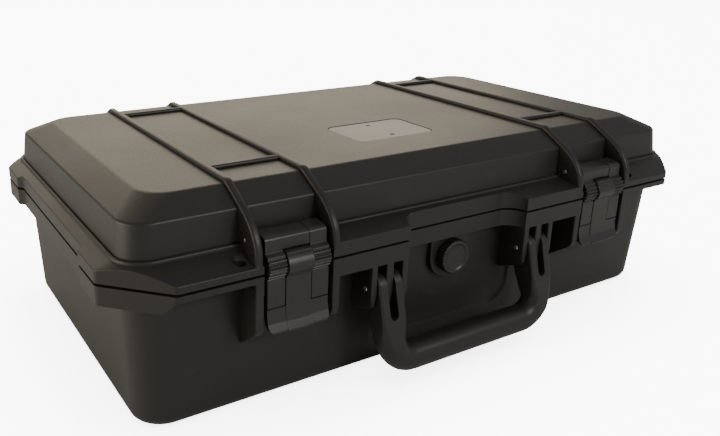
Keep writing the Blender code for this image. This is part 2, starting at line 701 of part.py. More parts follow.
def build_lid():
    lid = add_object("case_lid", loft(lid_levels()), case_plastic(), (0.0, HINGE_Y, PARTING_Z))
    limit = prism(rim_outline(), "Z", LID_BOTTOM_Z - 6.0, TOP_Z + 10.0)
    combine(lid, "INTERSECT", [add_tool("limit_rim", limit)])
    joins = [middle_rim()]
    for index, x in enumerate(signed(RIB_X)):
        joins.append(rib(x, f"join_rib_{index}"))
    for side in (-1, 1):
        for index, y in enumerate(CROSSBAR_Y):
            joins.append(crossbar(side, y, f"join_crossbar_{side + 1}_{index}"))
    combine(lid, "UNION", joins)
    bays = [bpy.data.objects[name] for name in ("cut_bay_left", "cut_bay_right", "cut_opening")]
    combine(lid, "DIFFERENCE", bays)
    knuckles = []
    for side in (-1, 1):
        low, high = hinge_spans(side)[0]
        knuckles.append(hinge_lug(low, high, True, f"join_lid_knuckle_{side + 1}"))
    combine(lid, "UNION", knuckles)
    cuts = [add_tool("cut_lid_cavity", loft(lid_cavity_levels(0.0, LID_BOTTOM_Z - 6.0)))]
    reach = SEAL_WIDTH / 2 + FIT
    groove = ring(seal_path(reach), seal_path(-reach), LID_BOTTOM_Z - 3.0, LID_BOTTOM_Z + GROOVE_DEPTH)
    cuts.append(add_tool("cut_groove", groove))
    half_x, half_y = PLATE_LENGTH / 2 + FIT, PLATE_DEPTH / 2 + FIT
    recess = rounded_rectangle(half_x, half_y, PLATE_CORNER + FIT, PLATE_CENTRE)
    cuts.append(add_tool("cut_plate_recess", prism(recess, "Z", TOP_Z - PLATE_RECESS, TOP_Z + 5.0)))
    for word, place in plate_pin_places().items():
        hole = circle(place, PLATE_PIN_RADIUS + PIN_PLAY, 14)
        cuts.append(add_tool("cut_plate_pin_" + word, prism(hole, "Z", TOP_Z - 2.2, TOP_Z + 5.0)))
    for side, word in ((-1, "left"), (1, "right")):
        cuts.append(lid_link_bore(side, "cut_link_bore_" + word))
        cuts.append(bpy.data.objects["cut_base_hinge_" + word])
        cuts.append(bpy.data.objects["cut_padlock_" + word])
    combine(lid, "DIFFERENCE", cuts)
    return lid


# --------------------------------------------------------- seal and nameplate
def build_seal():
    outer, inner = seal_path(SEAL_WIDTH / 2), seal_path(-SEAL_WIDTH / 2)
    top = LID_BOTTOM_Z + GROOVE_DEPTH - FIT
    return add_object("lid_seal", ring(outer, inner, top - SEAL_HEIGHT, top), seal_rubber())


def build_nameplate():
    outline = rounded_rectangle(PLATE_LENGTH / 2, PLATE_DEPTH / 2, PLATE_CORNER, PLATE_CENTRE)
    low = TOP_Z - PLATE_RECESS + 0.3
    plate = add_object("nameplate", prism(outline, "Z", low, low + PLATE_THICKNESS), plate_plastic())
    pieces = [plate]
    for word, place in plate_pin_places().items():
        pieces.append(add_object(
            "nameplate_pin_" + word,
            prism(circle(place, PLATE_PIN_RADIUS, 14), "Z", TOP_Z - 1.9, TOP_Z - 0.1),
            pin_steel(),
        ))
    holes = [bpy.data.objects["cut_plate_pin_" + word] for word in plate_pin_places()]
    combine(plate, "DIFFERENCE", holes)
    return pieces


# -------------------------------------------------------------------- latches
def link_profile():
    """Side view of a latch wing, with its grip grooves."""
    edge = -RIM_FRONT
    y, z = LINK_PIVOT
    points = arc((y, z), LINK_BOSS, -60.0, 80.0, 8)
    points += [(edge + 6.7, 119.0), (edge + 4.9, 118.2), (edge + 4.2, 116.8), (edge + 4.1, 109.4)]
    top_z, bottom_z = 108.6, 94.4
    for groove in range(GRIP_GROOVES + 1):
        for part, sink in ((0.15, 0.0), (0.62, 0.0), (0.78, 0.75), (0.98, 0.75)):
            share = (groove + part) / (GRIP_GROOVES + 1)
            level = top_z + (bottom_z - top_z) * share
            swell = 5.0 * math.sin(math.pi * min(share * 0.93 + 0.07, 1.0)) ** 0.8
            points.append((edge + 3.3 - swell + sink, level))
    points += [(edge + 1.1, 93.6), (edge + 1.1, LINK_BOTTOM_Z)]
    points += [(edge + 5.9, LINK_BOTTOM_Z), (edge + 5.9, 94.0)]
    points += [(edge + 7.7, 97.0), (edge + 8.5, 101.5), (edge + 9.9, 107.0), (edge + 13.5, 110.4)]
    return points


def plate_profile():
    """Side view of the top plate between the wings."""
    edge = -RIM_FRONT
    y, z = LINK_PIVOT
    points = arc((y, z), LINK_BOSS, -60.0, 80.0, 8)
    points += [(edge + 6.7, 119.0), (edge + 4.9, 118.2), (edge + 4.2, 116.8)]
    return points + [(edge + 4.1, LINK_PLATE_Z), (edge + 13.1, LINK_PLATE_Z)]


def lip_points():
    """The flared finger lip, from its top front corner round to its top back."""
    edge = -RIM_FRONT
    return [
        (edge + 0.9, 70.0), (edge - 0.3, 65.0), (edge - 2.7, LIP_BOTTOM_Z + 1.4),
        (edge - 2.5, LIP_BOTTOM_Z + 0.3), (edge - 1.1, LIP_BOTTOM_Z),
        (edge + 2.1, LIP_BOTTOM_Z + 2.6), (edge + 4.5, 68.0),
    ]


def tongue_profile():
    """Side view of the lever's tongue, barrel and hook."""
    edge = -RIM_FRONT
    y, z = LEVER_PIVOT
    back = y + LEVER_BARREL
    hook_y = -CATCH_LIP_Y - HOOK_CLEARANCE
    points = [(edge + 5.5, z + 8.6), (edge + 1.3, z + 8.6), (edge + 0.3, z + 7.9), (edge + 0.6, z + 7.2)]
    points += [(edge - 0.8, z + 6.4), (edge - 0.4, z + 5.7), (edge - 1.7, z + 4.6)]
    points += arc((y, z), LEVER_BARREL, 160.0, 222.0, 5)
    points += [(edge + 0.2, z - 6.6), (edge + 0.9, z - 8.0)]
    points += lip_points()
    points += [(edge + 5.1, 76.0), (edge + 5.1, 78.0), (hook_y - 0.8, 78.0), (hook_y, 79.0), (hook_y, 81.6)]
    points += [(hook_y - 1.6, 82.4), (edge + 5.5, 84.5), (edge + 5.9, z - 7.4)]
    points += [(back - 0.6, z - 2.8), (back, z), (back - 0.9, z + 4.0)]
    return points


def wide_lip_profile():
    edge = -RIM_FRONT
    return [(edge + 0.9, LIP_TOP_Z)] + lip_points() + [(edge + 5.1, LIP_TOP_Z)]


def build_latch(side, word, link_axis, lever_axis):
    middle = side * LATCH_X
    half = LATCH_WIDTH / 2
    slot = TONGUE_WIDTH / 2 + TONGUE_PLAY
    link_origin = (middle, *LINK_PIVOT)
    lever_origin = (middle, *LEVER_PIVOT)
    first_wing = prism(link_profile(), "X", middle - half, middle - slot)
    link = add_object("latch_link_" + word, first_wing, latch_plastic(), link_origin)
    wing = add_tool("join_wing_" + word, prism(link_profile(), "X", middle + slot, middle + half))
    plate_body = prism(plate_profile(), "X", middle - slot - 3.0, middle + slot + 3.0)
    plate = add_tool("join_plate_" + word, plate_body)
    combine(link, "UNION", [wing, plate])
    bore = prism(circle(LEVER_PIVOT, LEVER_PIN_RADIUS + PIN_PLAY, 16), "X", middle - 30.0, middle + 30.0)
    lever_bore = add_tool("cut_lever_bore_" + word, bore)
    combine(link, "DIFFERENCE", [bpy.data.objects["cut_link_bore_" + word], lever_bore])
    tongue = TONGUE_WIDTH / 2
    tongue_body = prism(tongue_profile(), "X", middle - tongue, middle + tongue)
    lever = add_object("latch_lever_" + word, tongue_body, latch_plastic(), lever_origin)
    lip = add_tool("join_lip_" + word, prism(wide_lip_profile(), "X", middle - half, middle + half))
    corners = [(middle + sx * (half + 1.0), LIP_BOTTOM_Z - 1.0) for sx in (-1, 1)]
    trims = []
    for index, (x, z) in enumerate(corners):
        sx = -1 if index == 0 else 1
        triangle = [(x, z), (x - sx * 7.0, z), (x, z + 8.0)]
        trim = prism(triangle, "Y", -RIM_FRONT - 8.0, -RIM_FRONT + 12.5)
        trims.append(add_tool(f"cut_lip_corner_{word}_{index}", trim))
    combine(lever, "UNION", [lip])
    combine(lever, "DIFFERENCE", trims + [lever_bore])
    fins = (RIB_X[0] - RIB_WIDTH / 2, RIB_X[1] + RIB_WIDTH / 2)
    low, high = sorted(side * x for x in fins)
    lid_pin = pin("latch_pin_" + word, LINK_PIVOT, LINK_PIN_RADIUS, low, high, 16)
    lever_ends = (middle - half + 0.6, middle + half - 0.6)
    lever_pin = pin("lever_pin_" + word, LEVER_PIVOT, LEVER_PIN_RADIUS, *lever_ends, 16)
    attach(link, link_axis)
    attach(lever_pin, link_axis)
    attach(lever_axis, link_axis)
    attach(lever, lever_axis)
    return link, lever, lid_pin, lever_pin


# --------------------------------------------------------------------- handle
def handle_front_outline():
    """Front view of the handle: a U with swept corners."""
    top = HANDLE_PIVOT[1] + FORK_RADIUS
    low, outer, inner = GRIP_BOTTOM_Z, HANDLE_HALF_WIDTH, GRIP_HALF_WIDTH
    grip_top = low + GRIP_HEIGHT
    wide, tight = GRIP_SWEEP
    right = arc((outer - wide, low + wide), wide, -90.0, 0.0) + [(outer, top), (inner, top)]
    right += arc((inner - tight, grip_top + tight), tight, 0.0, -90.0)
    return right + [(-x, z) for x, z in reversed(right)]


def handle_side_outline():
    """Side view: round round the pins, leaning out towards the grip."""
    y, z = HANDLE_PIVOT
    back = GRIP_FRONT_Y + GRIP_DEPTH
    points = arc((y, z), FORK_RADIUS, 8.0, 176.0, 10)
    points += [(GRIP_FRONT_Y, GRIP_BOTTOM_Z + GRIP_HEIGHT), (GRIP_FRONT_Y, GRIP_BOTTOM_Z - 1.0)]
    points += [(back, GRIP_BOTTOM_Z - 1.0), (back, GRIP_BOTTOM_Z + GRIP_HEIGHT)]
    return points


def build_handle(axis):
    body = prism(handle_side_outline(), "X", -HANDLE_HALF_WIDTH - 3.0, HANDLE_HALF_WIDTH + 3.0)
    handle = add_object("handle", body, latch_plastic(), (0.0, *HANDLE_PIVOT))
    limit = add_tool("limit_handle", prism(handle_front_outline(), "Y", -RIM_FRONT - 30.0, -RIM_FRONT + 30.0))
    combine(handle, "INTERSECT", [limit])
    add_bevel(handle, 3.6, 2, 40.0)
    slots = []
    x, half = ear_positions()[1][0], FORK_SLOT / 2
    for side in (-1, 1):
        low, high = side * x - half, side * x + half
        base_z = FORK_SLOT_BOTTOM_Z + half
        outline = arc((side * x, base_z), half, 180.0, 360.0, 8) + [(high, 95.0), (low, 95.0)]
        slot = prism(outline, "Y", -RIM_FRONT - 25.0, -RIM_FRONT + 25.0)
        slots.append(add_tool(f"cut_fork_{side + 1}", slot))
    bores = [bpy.data.objects["cut_handle_bore_left"], bpy.data.objects["cut_handle_bore_right"]]
    combine(handle, "DIFFERENCE", slots + bores)
    attach(handle, axis)
    low = ear_positions()[0][0] - EAR_OUTER_WIDTH / 2
    high = ear_positions()[2][0] + EAR_OUTER_WIDTH / 2
    for side, word in ((-1, "left"), (1, "right")):
        x_low, x_high = sorted((side * low, side * high))
        pin("handle_pin_" + word, HANDLE_PIVOT, HANDLE_PIN_RADIUS, x_low, x_high, 16)
    return handle


# ---------------------------------------------------------------------- valve
def turned(name, finish, profile, sides=32, teeth=0, tooth=0.0):
    """A turned piece about the valve's axis from (radius, y) points."""
    bm = bmesh.new()
    loops = []
    count = 2 * teeth if teeth else sides
    for radius, y, toothed in profile:
        verts = []
        for index in range(count):
            angle = 2.0 * math.pi * index / count
            reach = radius - (tooth if toothed and index % 2 else 0.0)
            verts.append(bm.verts.new((reach * math.cos(angle), y, VALVE_Z + reach * math.sin(angle))))
        loops.append(verts)
    for first, second in zip(loops, loops[1:] + loops[:1]):
        for index in range(count):
            after = (index + 1) % count
            bm.faces.new((first[index], first[after], second[after], second[index]))
    return add_object(name, bm, finish, (0.0, profile[0][1], VALVE_Z))


def build_valve(axis):
    face = -valve_face()
    gasket_out = face - 0.3
    gasket_in = gasket_out - GASKET_THICKNESS
    bore = VALVE_STEM_RADIUS + PIN_PLAY
    turned("valve_gasket", seal_rubber(), [
        (bore, gasket_out, False), (GASKET_RADIUS, gasket_out, False),
        (GASKET_RADIUS, gasket_in, False), (bore, gasket_in, False),
    ], 28)
    disc_back = gasket_in - 0.3
    disc_front = disc_back - VALVE_DISC
    inner_wall = -tub_half(VALVE_Z)[1] + WALL
    nut_front = inner_wall + 0.5
    stem_end = nut_front + NUT_THICKNESS + 1.0
    vent = 2.0
    turned("valve_body", plate_plastic(), [
        (vent, disc_front, False), (VALVE_DISC_RADIUS, disc_front, False),
        (VALVE_DISC_RADIUS, disc_back, False),
        (VALVE_STEM_RADIUS, disc_back, False), (VALVE_STEM_RADIUS, stem_end, False), (vent, stem_end, False),
    ], 28)
    knob_face = gasket_out - KNOB_THICKNESS
    clear = VALVE_DISC_RADIUS + 0.4
    seal_back = disc_front - 0.3
    seal_front = seal_back - FACE_SEAL_THICKNESS
    face_seal = turned("valve_seal", seal_rubber(), [
        (FACE_SEAL[0], seal_back, False), (FACE_SEAL[1], seal_back, False),
        (FACE_SEAL[1], seal_front, False), (FACE_SEAL[0], seal_front, False),
    ], 24)
    attach(face_seal, axis)
    knob_front = seal_front - 0.3
    profile = [
        (clear, gasket_out - 0.4, False), (KNOB_RADIUS, gasket_out - 0.4, True),
        (KNOB_RADIUS, knob_face + 0.8, True),
        (KNOB_RADIUS - 1.0, knob_face, False), (KNOB_RADIUS - 2.6, knob_face, False),
        (KNOB_RADIUS - 4.0, knob_face + 0.9, False), (1.0, knob_face + 1.3, False),
        (1.0, knob_front, False), (clear, knob_front, False),
    ]
    made = turned("valve_knob", latch_plastic(), profile, teeth=KNOB_TEETH, tooth=0.55)
    attach(made, axis)
    hexagon = circle((0.0, VALVE_Z), NUT_ACROSS / math.sqrt(3.0), 6)
    nut = add_object("valve_nut", prism(hexagon, "Y", nut_front, nut_front + NUT_THICKNESS), plate_plastic())
    nut_bore = prism(circle((0.0, VALVE_Z), bore, 24), "Y", nut_front - 3.0, nut_front + 12.0)
    hole = add_tool("cut_nut", nut_bore)
    combine(nut, "DIFFERENCE", [hole])
    return stem_end


# ----------------------------------------------------------------------- foam
def build_foam(stem_end):
    floor = WALL + FIT
    pad_top = floor + PAD_THICKNESS
    inset = WALL + FOAM_CLEARANCE
    pad = loft(tub_levels(inset, floor, pad_top, 5.0))
    add_object("bottom_pad", pad, foam())
    block_levels = []
    for z in (pad_top + FIT, PARTING_Z - 0.3):
        half_x, half_y = tub_half(z)
        block_levels.append((half_x - inset, half_y - inset, TUB_CORNER - inset, z))
    block = add_object("base_foam", loft(block_levels), foam())
    pocket = rounded_rectangle(POCKET_HALF_LENGTH, POCKET_HALF_DEPTH, POCKET_CORNER, (0.0, POCKET_Y))
    cuts = [add_tool("cut_pocket", prism(pocket, "Z", POCKET_FLOOR_Z, PARTING_Z + 10.0))]
    for side in (-1, 1):
        centre = (side * POCKET_HALF_LENGTH, POCKET_Y)
        grip = circle(centre, FINGER_RADIUS, 24)
        finger_room = prism(grip, "Z", POCKET_FLOOR_Z + 12.0, PARTING_Z + 10.0)
        cuts.append(add_tool(f"cut_finger_{side + 1}", finger_room))
    reach = NUT_ACROSS / math.sqrt(3.0) + 2.0
    notch = box((-reach, -tub_half(VALVE_Z)[1], VALVE_Z - reach), (reach, stem_end + 2.0, PARTING_Z + 10.0))
    cuts.append(add_tool("cut_valve_notch", notch))
    combine(block, "DIFFERENCE", cuts)
    lid_levels = lid_cavity_levels(FOAM_CLEARANCE, PARTING_Z + 0.3)
    return add_object("lid_foam", loft(lid_levels), foam())


# -------------------------------------------------------------------- assembly
def smooth_round_pieces():
    """Shade gentle angles smooth and keep the real edges sharp."""
    for made in bpy.data.objects:
        if made.type == "MESH":
            made.data.shade_smooth()
            made.data.set_sharp_from_angle(angle=math.radians(30.0))


def main():
    for old in list(bpy.data.objects):
        bpy.data.objects.remove(old, do_unlink=True)
    lid_axis = add_axis("lid_axis", (0.0, HINGE_Y, PARTING_Z))
    handle_axis = add_axis("handle_axis", (0.0, *HANDLE_PIVOT))
    knob_axis = add_axis("knob_axis", (0.0, -valve_face(), VALVE_Z))
    build_base()
    on_lid = [build_lid(), build_seal()] + build_nameplate()
    for side, word in ((-1, "left"), (1, "right")):
        link_axis = add_axis("link_axis_" + word, (side * LATCH_X, *LINK_PIVOT))
        lever_axis = add_axis("lever_axis_" + word, (side * LATCH_X, *LEVER_PIVOT))
        lid_pin = build_latch(side, word, link_axis, lever_axis)[2]
        on_lid += [link_axis, lid_pin]
        middle = side * LATCH_X
        half = LID_KNUCKLE / 2 + KNUCKLE_GAP + BASE_KNUCKLE
        pin("hinge_pin_" + word, (HINGE_Y, PARTING_Z), HINGE_PIN_RADIUS, middle - half, middle + half, 16)
    build_handle(handle_axis)
    stem_end = build_valve(knob_axis)
    on_lid.append(build_foam(stem_end))
    for piece in on_lid:
        attach(piece, lid_axis)
    smooth_round_pieces()


main()
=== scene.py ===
"""The finished look of a hard carrying case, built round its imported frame.

Every visible moulding is modelled here with rounded edges and fine detail over
the plain solids of the frame, and dressed in its own procedural finish.  Sizes
are in millimetres unless a name ends in _m, in the frame's axes: +X along the
length, -Y towards the latches, +Z up, with the origin under the base.
"""

from __future__ import annotations

import json
import logging
import math
from dataclasses import dataclass, field
from enum import Enum
from typing import Callable, Iterable, Sequence

import bmesh
import bpy
from mathutils import Matrix, Vector


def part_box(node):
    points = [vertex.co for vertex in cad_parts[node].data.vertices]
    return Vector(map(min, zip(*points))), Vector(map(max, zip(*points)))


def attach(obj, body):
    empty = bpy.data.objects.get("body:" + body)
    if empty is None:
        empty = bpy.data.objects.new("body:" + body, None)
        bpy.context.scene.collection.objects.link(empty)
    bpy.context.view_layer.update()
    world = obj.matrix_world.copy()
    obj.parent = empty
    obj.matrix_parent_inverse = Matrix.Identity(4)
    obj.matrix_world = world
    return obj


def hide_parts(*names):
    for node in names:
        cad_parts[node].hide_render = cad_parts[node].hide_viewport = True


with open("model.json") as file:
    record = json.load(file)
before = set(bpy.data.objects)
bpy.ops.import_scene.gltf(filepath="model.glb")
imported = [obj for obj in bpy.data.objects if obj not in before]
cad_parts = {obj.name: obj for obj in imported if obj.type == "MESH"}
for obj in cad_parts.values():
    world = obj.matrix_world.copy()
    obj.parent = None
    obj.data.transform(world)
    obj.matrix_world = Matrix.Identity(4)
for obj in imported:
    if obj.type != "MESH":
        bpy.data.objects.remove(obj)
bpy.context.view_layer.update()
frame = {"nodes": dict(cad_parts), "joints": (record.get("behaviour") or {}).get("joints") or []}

MM = 0.001
LOG = logging.getLogger("carrying_case")
Point = tuple[float, float]
Piece = bpy.types.Object


class Side(Enum):
    """The two ends of the case, as seen from the latches."""

    LEFT = -1
    RIGHT = 1

    @property
    def word(self) -> str:
        """The side's name as the frame's nodes use it."""
        return self.name.lower()


class Along(Enum):
    """The axis an outline is extruded along."""

    X = "x"
    Y = "y"
    Z = "z"


class Change(Enum):
    """What a Boolean does with its tools."""

    JOIN = "UNION"
    CUT = "DIFFERENCE"
    KEEP = "INTERSECT"


# ------------------------------------------------------------------- the frame
def node_box(node: str) -> tuple[Vector, Vector]:
    """Corners of a frame node at rest.

    Args:
        node: name of the node.

    Returns:
        The lowest and the highest corner, in millimetres.
    """
    low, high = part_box(node)
    return Vector(low) / MM, Vector(high) / MM


def joint_place(name: str) -> Point:
    """Where a hinge's axis crosses the side view.

    Args:
        name: name of the joint.

    Returns:
        Its (y, z) in millimetres.
    """
    joint = next(j for j in frame["joints"] if j["name"] == name)
    return joint["pos_m"][1] / MM, joint["pos_m"][2] / MM


# -------------------------------------------------------------------- outlines
def arc(centre: Point, radius: float | Point, start: float, end: float, steps: int = 8) -> list[Point]:
    """Points along an arc or a quarter of an ellipse.

    Args:
        centre: middle of the arc.
        radius: one radius, or one for each direction.
        start: first angle, in degrees.
        end: last angle, in degrees.
        steps: straight pieces between them.

    Returns:
        The points, both ends included.
    """
    rx, ry = radius if isinstance(radius, tuple) else (radius, radius)
    turns = [math.radians(start + (end - start) * i / steps) for i in range(steps + 1)]
    return [(centre[0] + rx * math.cos(t), centre[1] + ry * math.sin(t)) for t in turns]


def curve(start: Point, pull: Point, end: Point, steps: int = 16) -> list[Point]:
    """A smooth bend whose two ends point at the same corner.

    Args:
        start: where it begins.
        pull: the corner that both ends point at.
        end: where it ends.
        steps: straight pieces between them.

    Returns:
        The points, both ends included.
    """
    points = []
    for index in range(steps + 1):
        t = index / steps
        before, middle, after = (1.0 - t) ** 2, 2.0 * t * (1.0 - t), t * t
        points.append((
            before * start[0] + middle * pull[0] + after * end[0],
            before * start[1] + middle * pull[1] + after * end[1],
        ))
    return points


def circle(centre: Point, radius: float, sides: int = 32) -> list[Point]:
    """The corners of a regular polygon.

    Args:
        centre: its middle.
        radius: its outer radius.
        sides: how many sides it has.

    Returns:
        The corners, anticlockwise.
    """
    return arc(centre, radius, 0.0, 360.0 - 360.0 / sides, sides - 1)


def about(middle: float, half: float) -> Point:
    """The two ends of a stretch that reaches half either way from its middle."""
    return middle - half, middle + half


def rounded_rectangle(
    half_x: float, half_y: float, radius: float, centre: Point = (0.0, 0.0), steps: int = 10
) -> list[Point]:
    """A rectangle with round corners, anticlockwise from its right side.

    Args:
        half_x: half its length.
        half_y: half its depth.
        radius: radius of its corners.
        centre: its middle.
        steps: straight pieces in each corner.

    Returns:
        The points of its outline.
    """
    points: list[Point] = []
    for quarter, (sx, sy) in enumerate(((1, 1), (-1, 1), (-1, -1), (1, -1))):
        corner = (centre[0] + sx * (half_x - radius), centre[1] + sy * (half_y - radius))
        points += arc(corner, radius, 90.0 * quarter, 90.0 * quarter + 90.0, steps)
    return points


def swept(
    points: Sequence[Point], radii: Sequence[float], steps: int = 4, closed: bool = True
) -> list[Point]:
    """Round each corner of an outline by its own radius.

    Args:
        points: the sharp corners.
        radii: the radius wanted at each corner, 0 for a sharp one.
        steps: straight pieces in each rounded corner.
        closed: whether the last corner joins the first.

    Returns:
        The outline with its corners rounded.
    """
    made: list[Point] = []
    count = len(points)
    for index, (x, y) in enumerate(points):
        here = Vector((x, y))
        ends = not closed and index in (0, count - 1)
        if radii[index] <= 0.0 or ends:
            made.append((x, y))
            continue
        before = (Vector(points[index - 1]) - here).normalized()
        after = (Vector(points[(index + 1) % count]) - here).normalized()
        opening = before.angle(after)
        if opening > math.pi - 0.02:
            made.append((x, y))
            continue
        reach = radii[index] / math.tan(opening / 2)
        middle = here + (before + after).normalized() * (radii[index] / math.sin(opening / 2))
        first, last = here + before * reach - middle, here + after * reach - middle
        turn = first.angle_signed(last)
        for step in range(steps + 1):
            spoke = first.copy()
            spoke.rotate(Matrix.Rotation(-turn * step / steps, 2))
            made.append(tuple(middle + spoke))
    return made


def mirrored(right: Sequence[Point]) -> list[Point]:
    """Close the right half of an outline with its mirror image.

    Args:
        right: the points on the right, in order.

    Returns:
        The whole outline.
    """
    return list(right) + [(-x, y) for x, y in reversed(right)]


# ---------------------------------------------------------------- bench tools
def pick(piece: Piece) -> None:
    """Select one piece alone and make it active."""
    bpy.ops.object.select_all(action="DESELECT")
    piece.select_set(True)
    bpy.context.view_layer.objects.active = piece


def stack(name: str, rings: Sequence[Sequence[Vector]]) -> Piece:
    """Extrude a flat outline ring by ring into a closed solid.

    Args:
        name: name of the new piece.
        rings: outlines with equal counts of points, in millimetres.

    Returns:
        The new piece, with its object at the origin.
    """
    bpy.ops.object.select_all(action="DESELECT")
    bpy.ops.mesh.primitive_circle_add(vertices=len(rings[0]), radius=1.0, fill_type="NGON")
    piece = bpy.context.active_object
    piece.name = piece.data.name = name
    for vertex, point in zip(piece.data.vertices, rings[0]):
        vertex.co = Vector(point) * MM
    bpy.ops.object.mode_set(mode="EDIT")
    bpy.ops.mesh.select_mode(type="VERT")
    bpy.ops.mesh.select_all(action="SELECT")
    for ring in rings[1:]:
        before = bmesh.from_edit_mesh(piece.data)
        order = {tuple(v.co): v.index for v in before.verts if v.select}
        rank = {place: i for i, (place, _) in enumerate(sorted(order.items(), key=lambda item: item[1]))}
        bpy.ops.mesh.extrude_region_move(TRANSFORM_OT_translate={"value": (0.0, 0.0, 0.0)})
        mesh = bmesh.from_edit_mesh(piece.data)
        for vertex in [v for v in mesh.verts if v.select]:
            vertex.co = Vector(ring[rank[tuple(vertex.co)]]) * MM
        mesh.verts.index_update()
        bmesh.update_edit_mesh(piece.data)
    bpy.ops.mesh.select_all(action="SELECT")
    bpy.ops.mesh.normals_make_consistent(inside=False)
    bpy.ops.object.mode_set(mode="OBJECT")
    return piece


def prism(name: str, outline: Sequence[Point], along: Along, low: float, high: float) -> Piece:
    """Extrude an outline straight along one axis.

    Args:
        name: name of the new piece.
        outline: (y, z) points for X, (x, z) for Y, (x, y) for Z.
        along: the axis.
        low: where it begins.
        high: where it ends.

    Returns:
        The new piece.
    """
    place = {
        Along.X: lambda a, b, c: Vector((c, a, b)),
        Along.Y: lambda a, b, c: Vector((a, c, b)),
        Along.Z: lambda a, b, c: Vector((a, b, c)),
    }[along]
    return stack(name, [[place(a, b, level) for a, b in outline] for level in (low, high)])


def loft(name: str, levels: Sequence[tuple[float, float, float, float]], steps: int = 10) -> Piece:
    """A solid through rounded rectangles of different sizes.

    Args:
        name: name of the new piece.
        levels: (half length, half depth, corner radius, height) of each.
        steps: straight pieces in each corner.

    Returns:
        The new piece.
    """
    rings = []
    for half_x, half_y, radius, z in levels:
        outline = rounded_rectangle(half_x, half_y, radius, steps=steps)
        rings.append([Vector((x, y, z)) for x, y in outline])
    return stack(name, rings)


def block(name: str, low: Sequence[float], high: Sequence[float]) -> Piece:
    """An upright box between two corners.

    Args:
        name: name of the new piece.
        low: its lowest corner.
        high: its highest corner.

    Returns:
        The new piece.
    """
    outline = [(low[0], low[1]), (high[0], low[1]), (high[0], high[1]), (low[0], high[1])]
    return prism(name, outline, Along.Z, low[2], high[2])


def finish_modifier(piece: Piece, modifier: bpy.types.Modifier) -> None:
    """Apply one modifier of a piece."""
    pick(piece)
    bpy.ops.object.modifier_apply(modifier=modifier.name)


def change_with(piece: Piece, change: Change, tools: Sequence[Piece], keep: bool = False) -> None:
    """Join tools to a piece, or cut it with them.

    Args:
        piece: the piece that changes.
        change: what happens to it.
        tools: the solids it is changed with.
        keep: leave the tools in the scene for another cut.
    """
    group = bpy.data.collections.new(f"{piece.name}_{change.name.lower()}")
    for tool in tools:
        group.objects.link(tool)
    modifier = piece.modifiers.new(change.name.lower(), "BOOLEAN")
    modifier.operation = change.value
    modifier.solver = "EXACT"
    modifier.operand_type = "COLLECTION"
    modifier.collection = group
    finish_modifier(piece, modifier)
    bpy.data.collections.remove(group)
    if not keep:
        discard(tools)


def discard(tools: Iterable[Piece]) -> None:
    """Remove tools that aren't needed any more."""
    for tool in list(tools):
        bpy.data.objects.remove(tool, do_unlink=True)


def round_edges(piece: Piece, width: float, segments: int = 3, angle: float = 32.0) -> Piece:
    """Round every sharp edge of a piece.

    Args:
        piece: the piece.
        width: how far the rounding reaches from the edge.
        segments: straight pieces across it.
        angle: only edges sharper than this many degrees are rounded.

    Returns:
        The same piece.
    """
    modifier = piece.modifiers.new("rounding", "BEVEL")
    modifier.width = width * MM
    modifier.segments = segments
    modifier.limit_method = "ANGLE"
    modifier.angle_limit = math.radians(angle)
    finish_modifier(piece, modifier)
    return piece


def round_chosen(
    piece: Piece, width: float, segments: int, chosen: Callable[[bmesh.types.BMEdge], bool]
) -> None:
    """Round only the edges that a rule picks.

    Args:
        piece: the piece.
        width: how far the rounding reaches from the edge.
        segments: straight pieces across it.
        chosen: says whether an edge is rounded.
    """
    pick(piece)
    bpy.ops.object.mode_set(mode="EDIT")
    bpy.ops.mesh.select_mode(type="EDGE")
    bpy.ops.mesh.select_all(action="DESELECT")
    mesh = bmesh.from_edit_mesh(piece.data)
    for edge in mesh.edges:
        edge.select_set(len(edge.link_faces) == 2 and chosen(edge))
    bmesh.update_edit_mesh(piece.data)
    bpy.ops.mesh.bevel(offset=width * MM, segments=segments, affect="EDGES", clamp_overlap=True)
    bpy.ops.object.mode_set(mode="OBJECT")


def even_shading(piece: Piece, angle: float = 40.0) -> Piece:
    """Shade curves smooth and keep the flats flat.

    Args:
        piece: the piece.
        angle: edges sharper than this stay sharp, in degrees.

    Returns:
        The same piece.
    """
    pick(piece)
    bpy.ops.object.shade_smooth_by_angle(angle=math.radians(angle))
    modifier = piece.modifiers.new("flats", "WEIGHTED_NORMAL")
    modifier.mode = "FACE_AREA"
    modifier.keep_sharp = True
    finish_modifier(piece, modifier)
    return piece


def merged(piece: Piece) -> Piece:
    """Weld the doubled points that a Boolean or a copy leaves."""
    pick(piece)
    bpy.ops.object.mode_set(mode="EDIT")
    bpy.ops.mesh.select_all(action="SELECT")
    bpy.ops.mesh.remove_doubles(threshold=0.00002)
    bpy.ops.object.mode_set(mode="OBJECT")
    return piece


# -------------------------------------------------------------------- finishes
def new_group(name: str, inputs: dict[str, float], outputs: dict[str, str]) -> bpy.types.NodeTree:
    """Start a shader node group with named sockets.

    Args:
        name: name of the group.
        inputs: each number it takes and its usual value.
        outputs: each output and its socket type.

    Returns:
        The group's node tree, with its input and output nodes.
    """
    tree = bpy.data.node_groups.new(name, "ShaderNodeTree")
    for socket, value in inputs.items():
        made = tree.interface.new_socket(name=socket, in_out="INPUT", socket_type="NodeSocketFloat")
        made.default_value = value
    for socket, kind in outputs.items():
        tree.interface.new_socket(name=socket, in_out="OUTPUT", socket_type=kind)
    tree.nodes.new("NodeGroupInput").name = "in"
    tree.nodes.new("NodeGroupOutput").name = "out"
    return tree


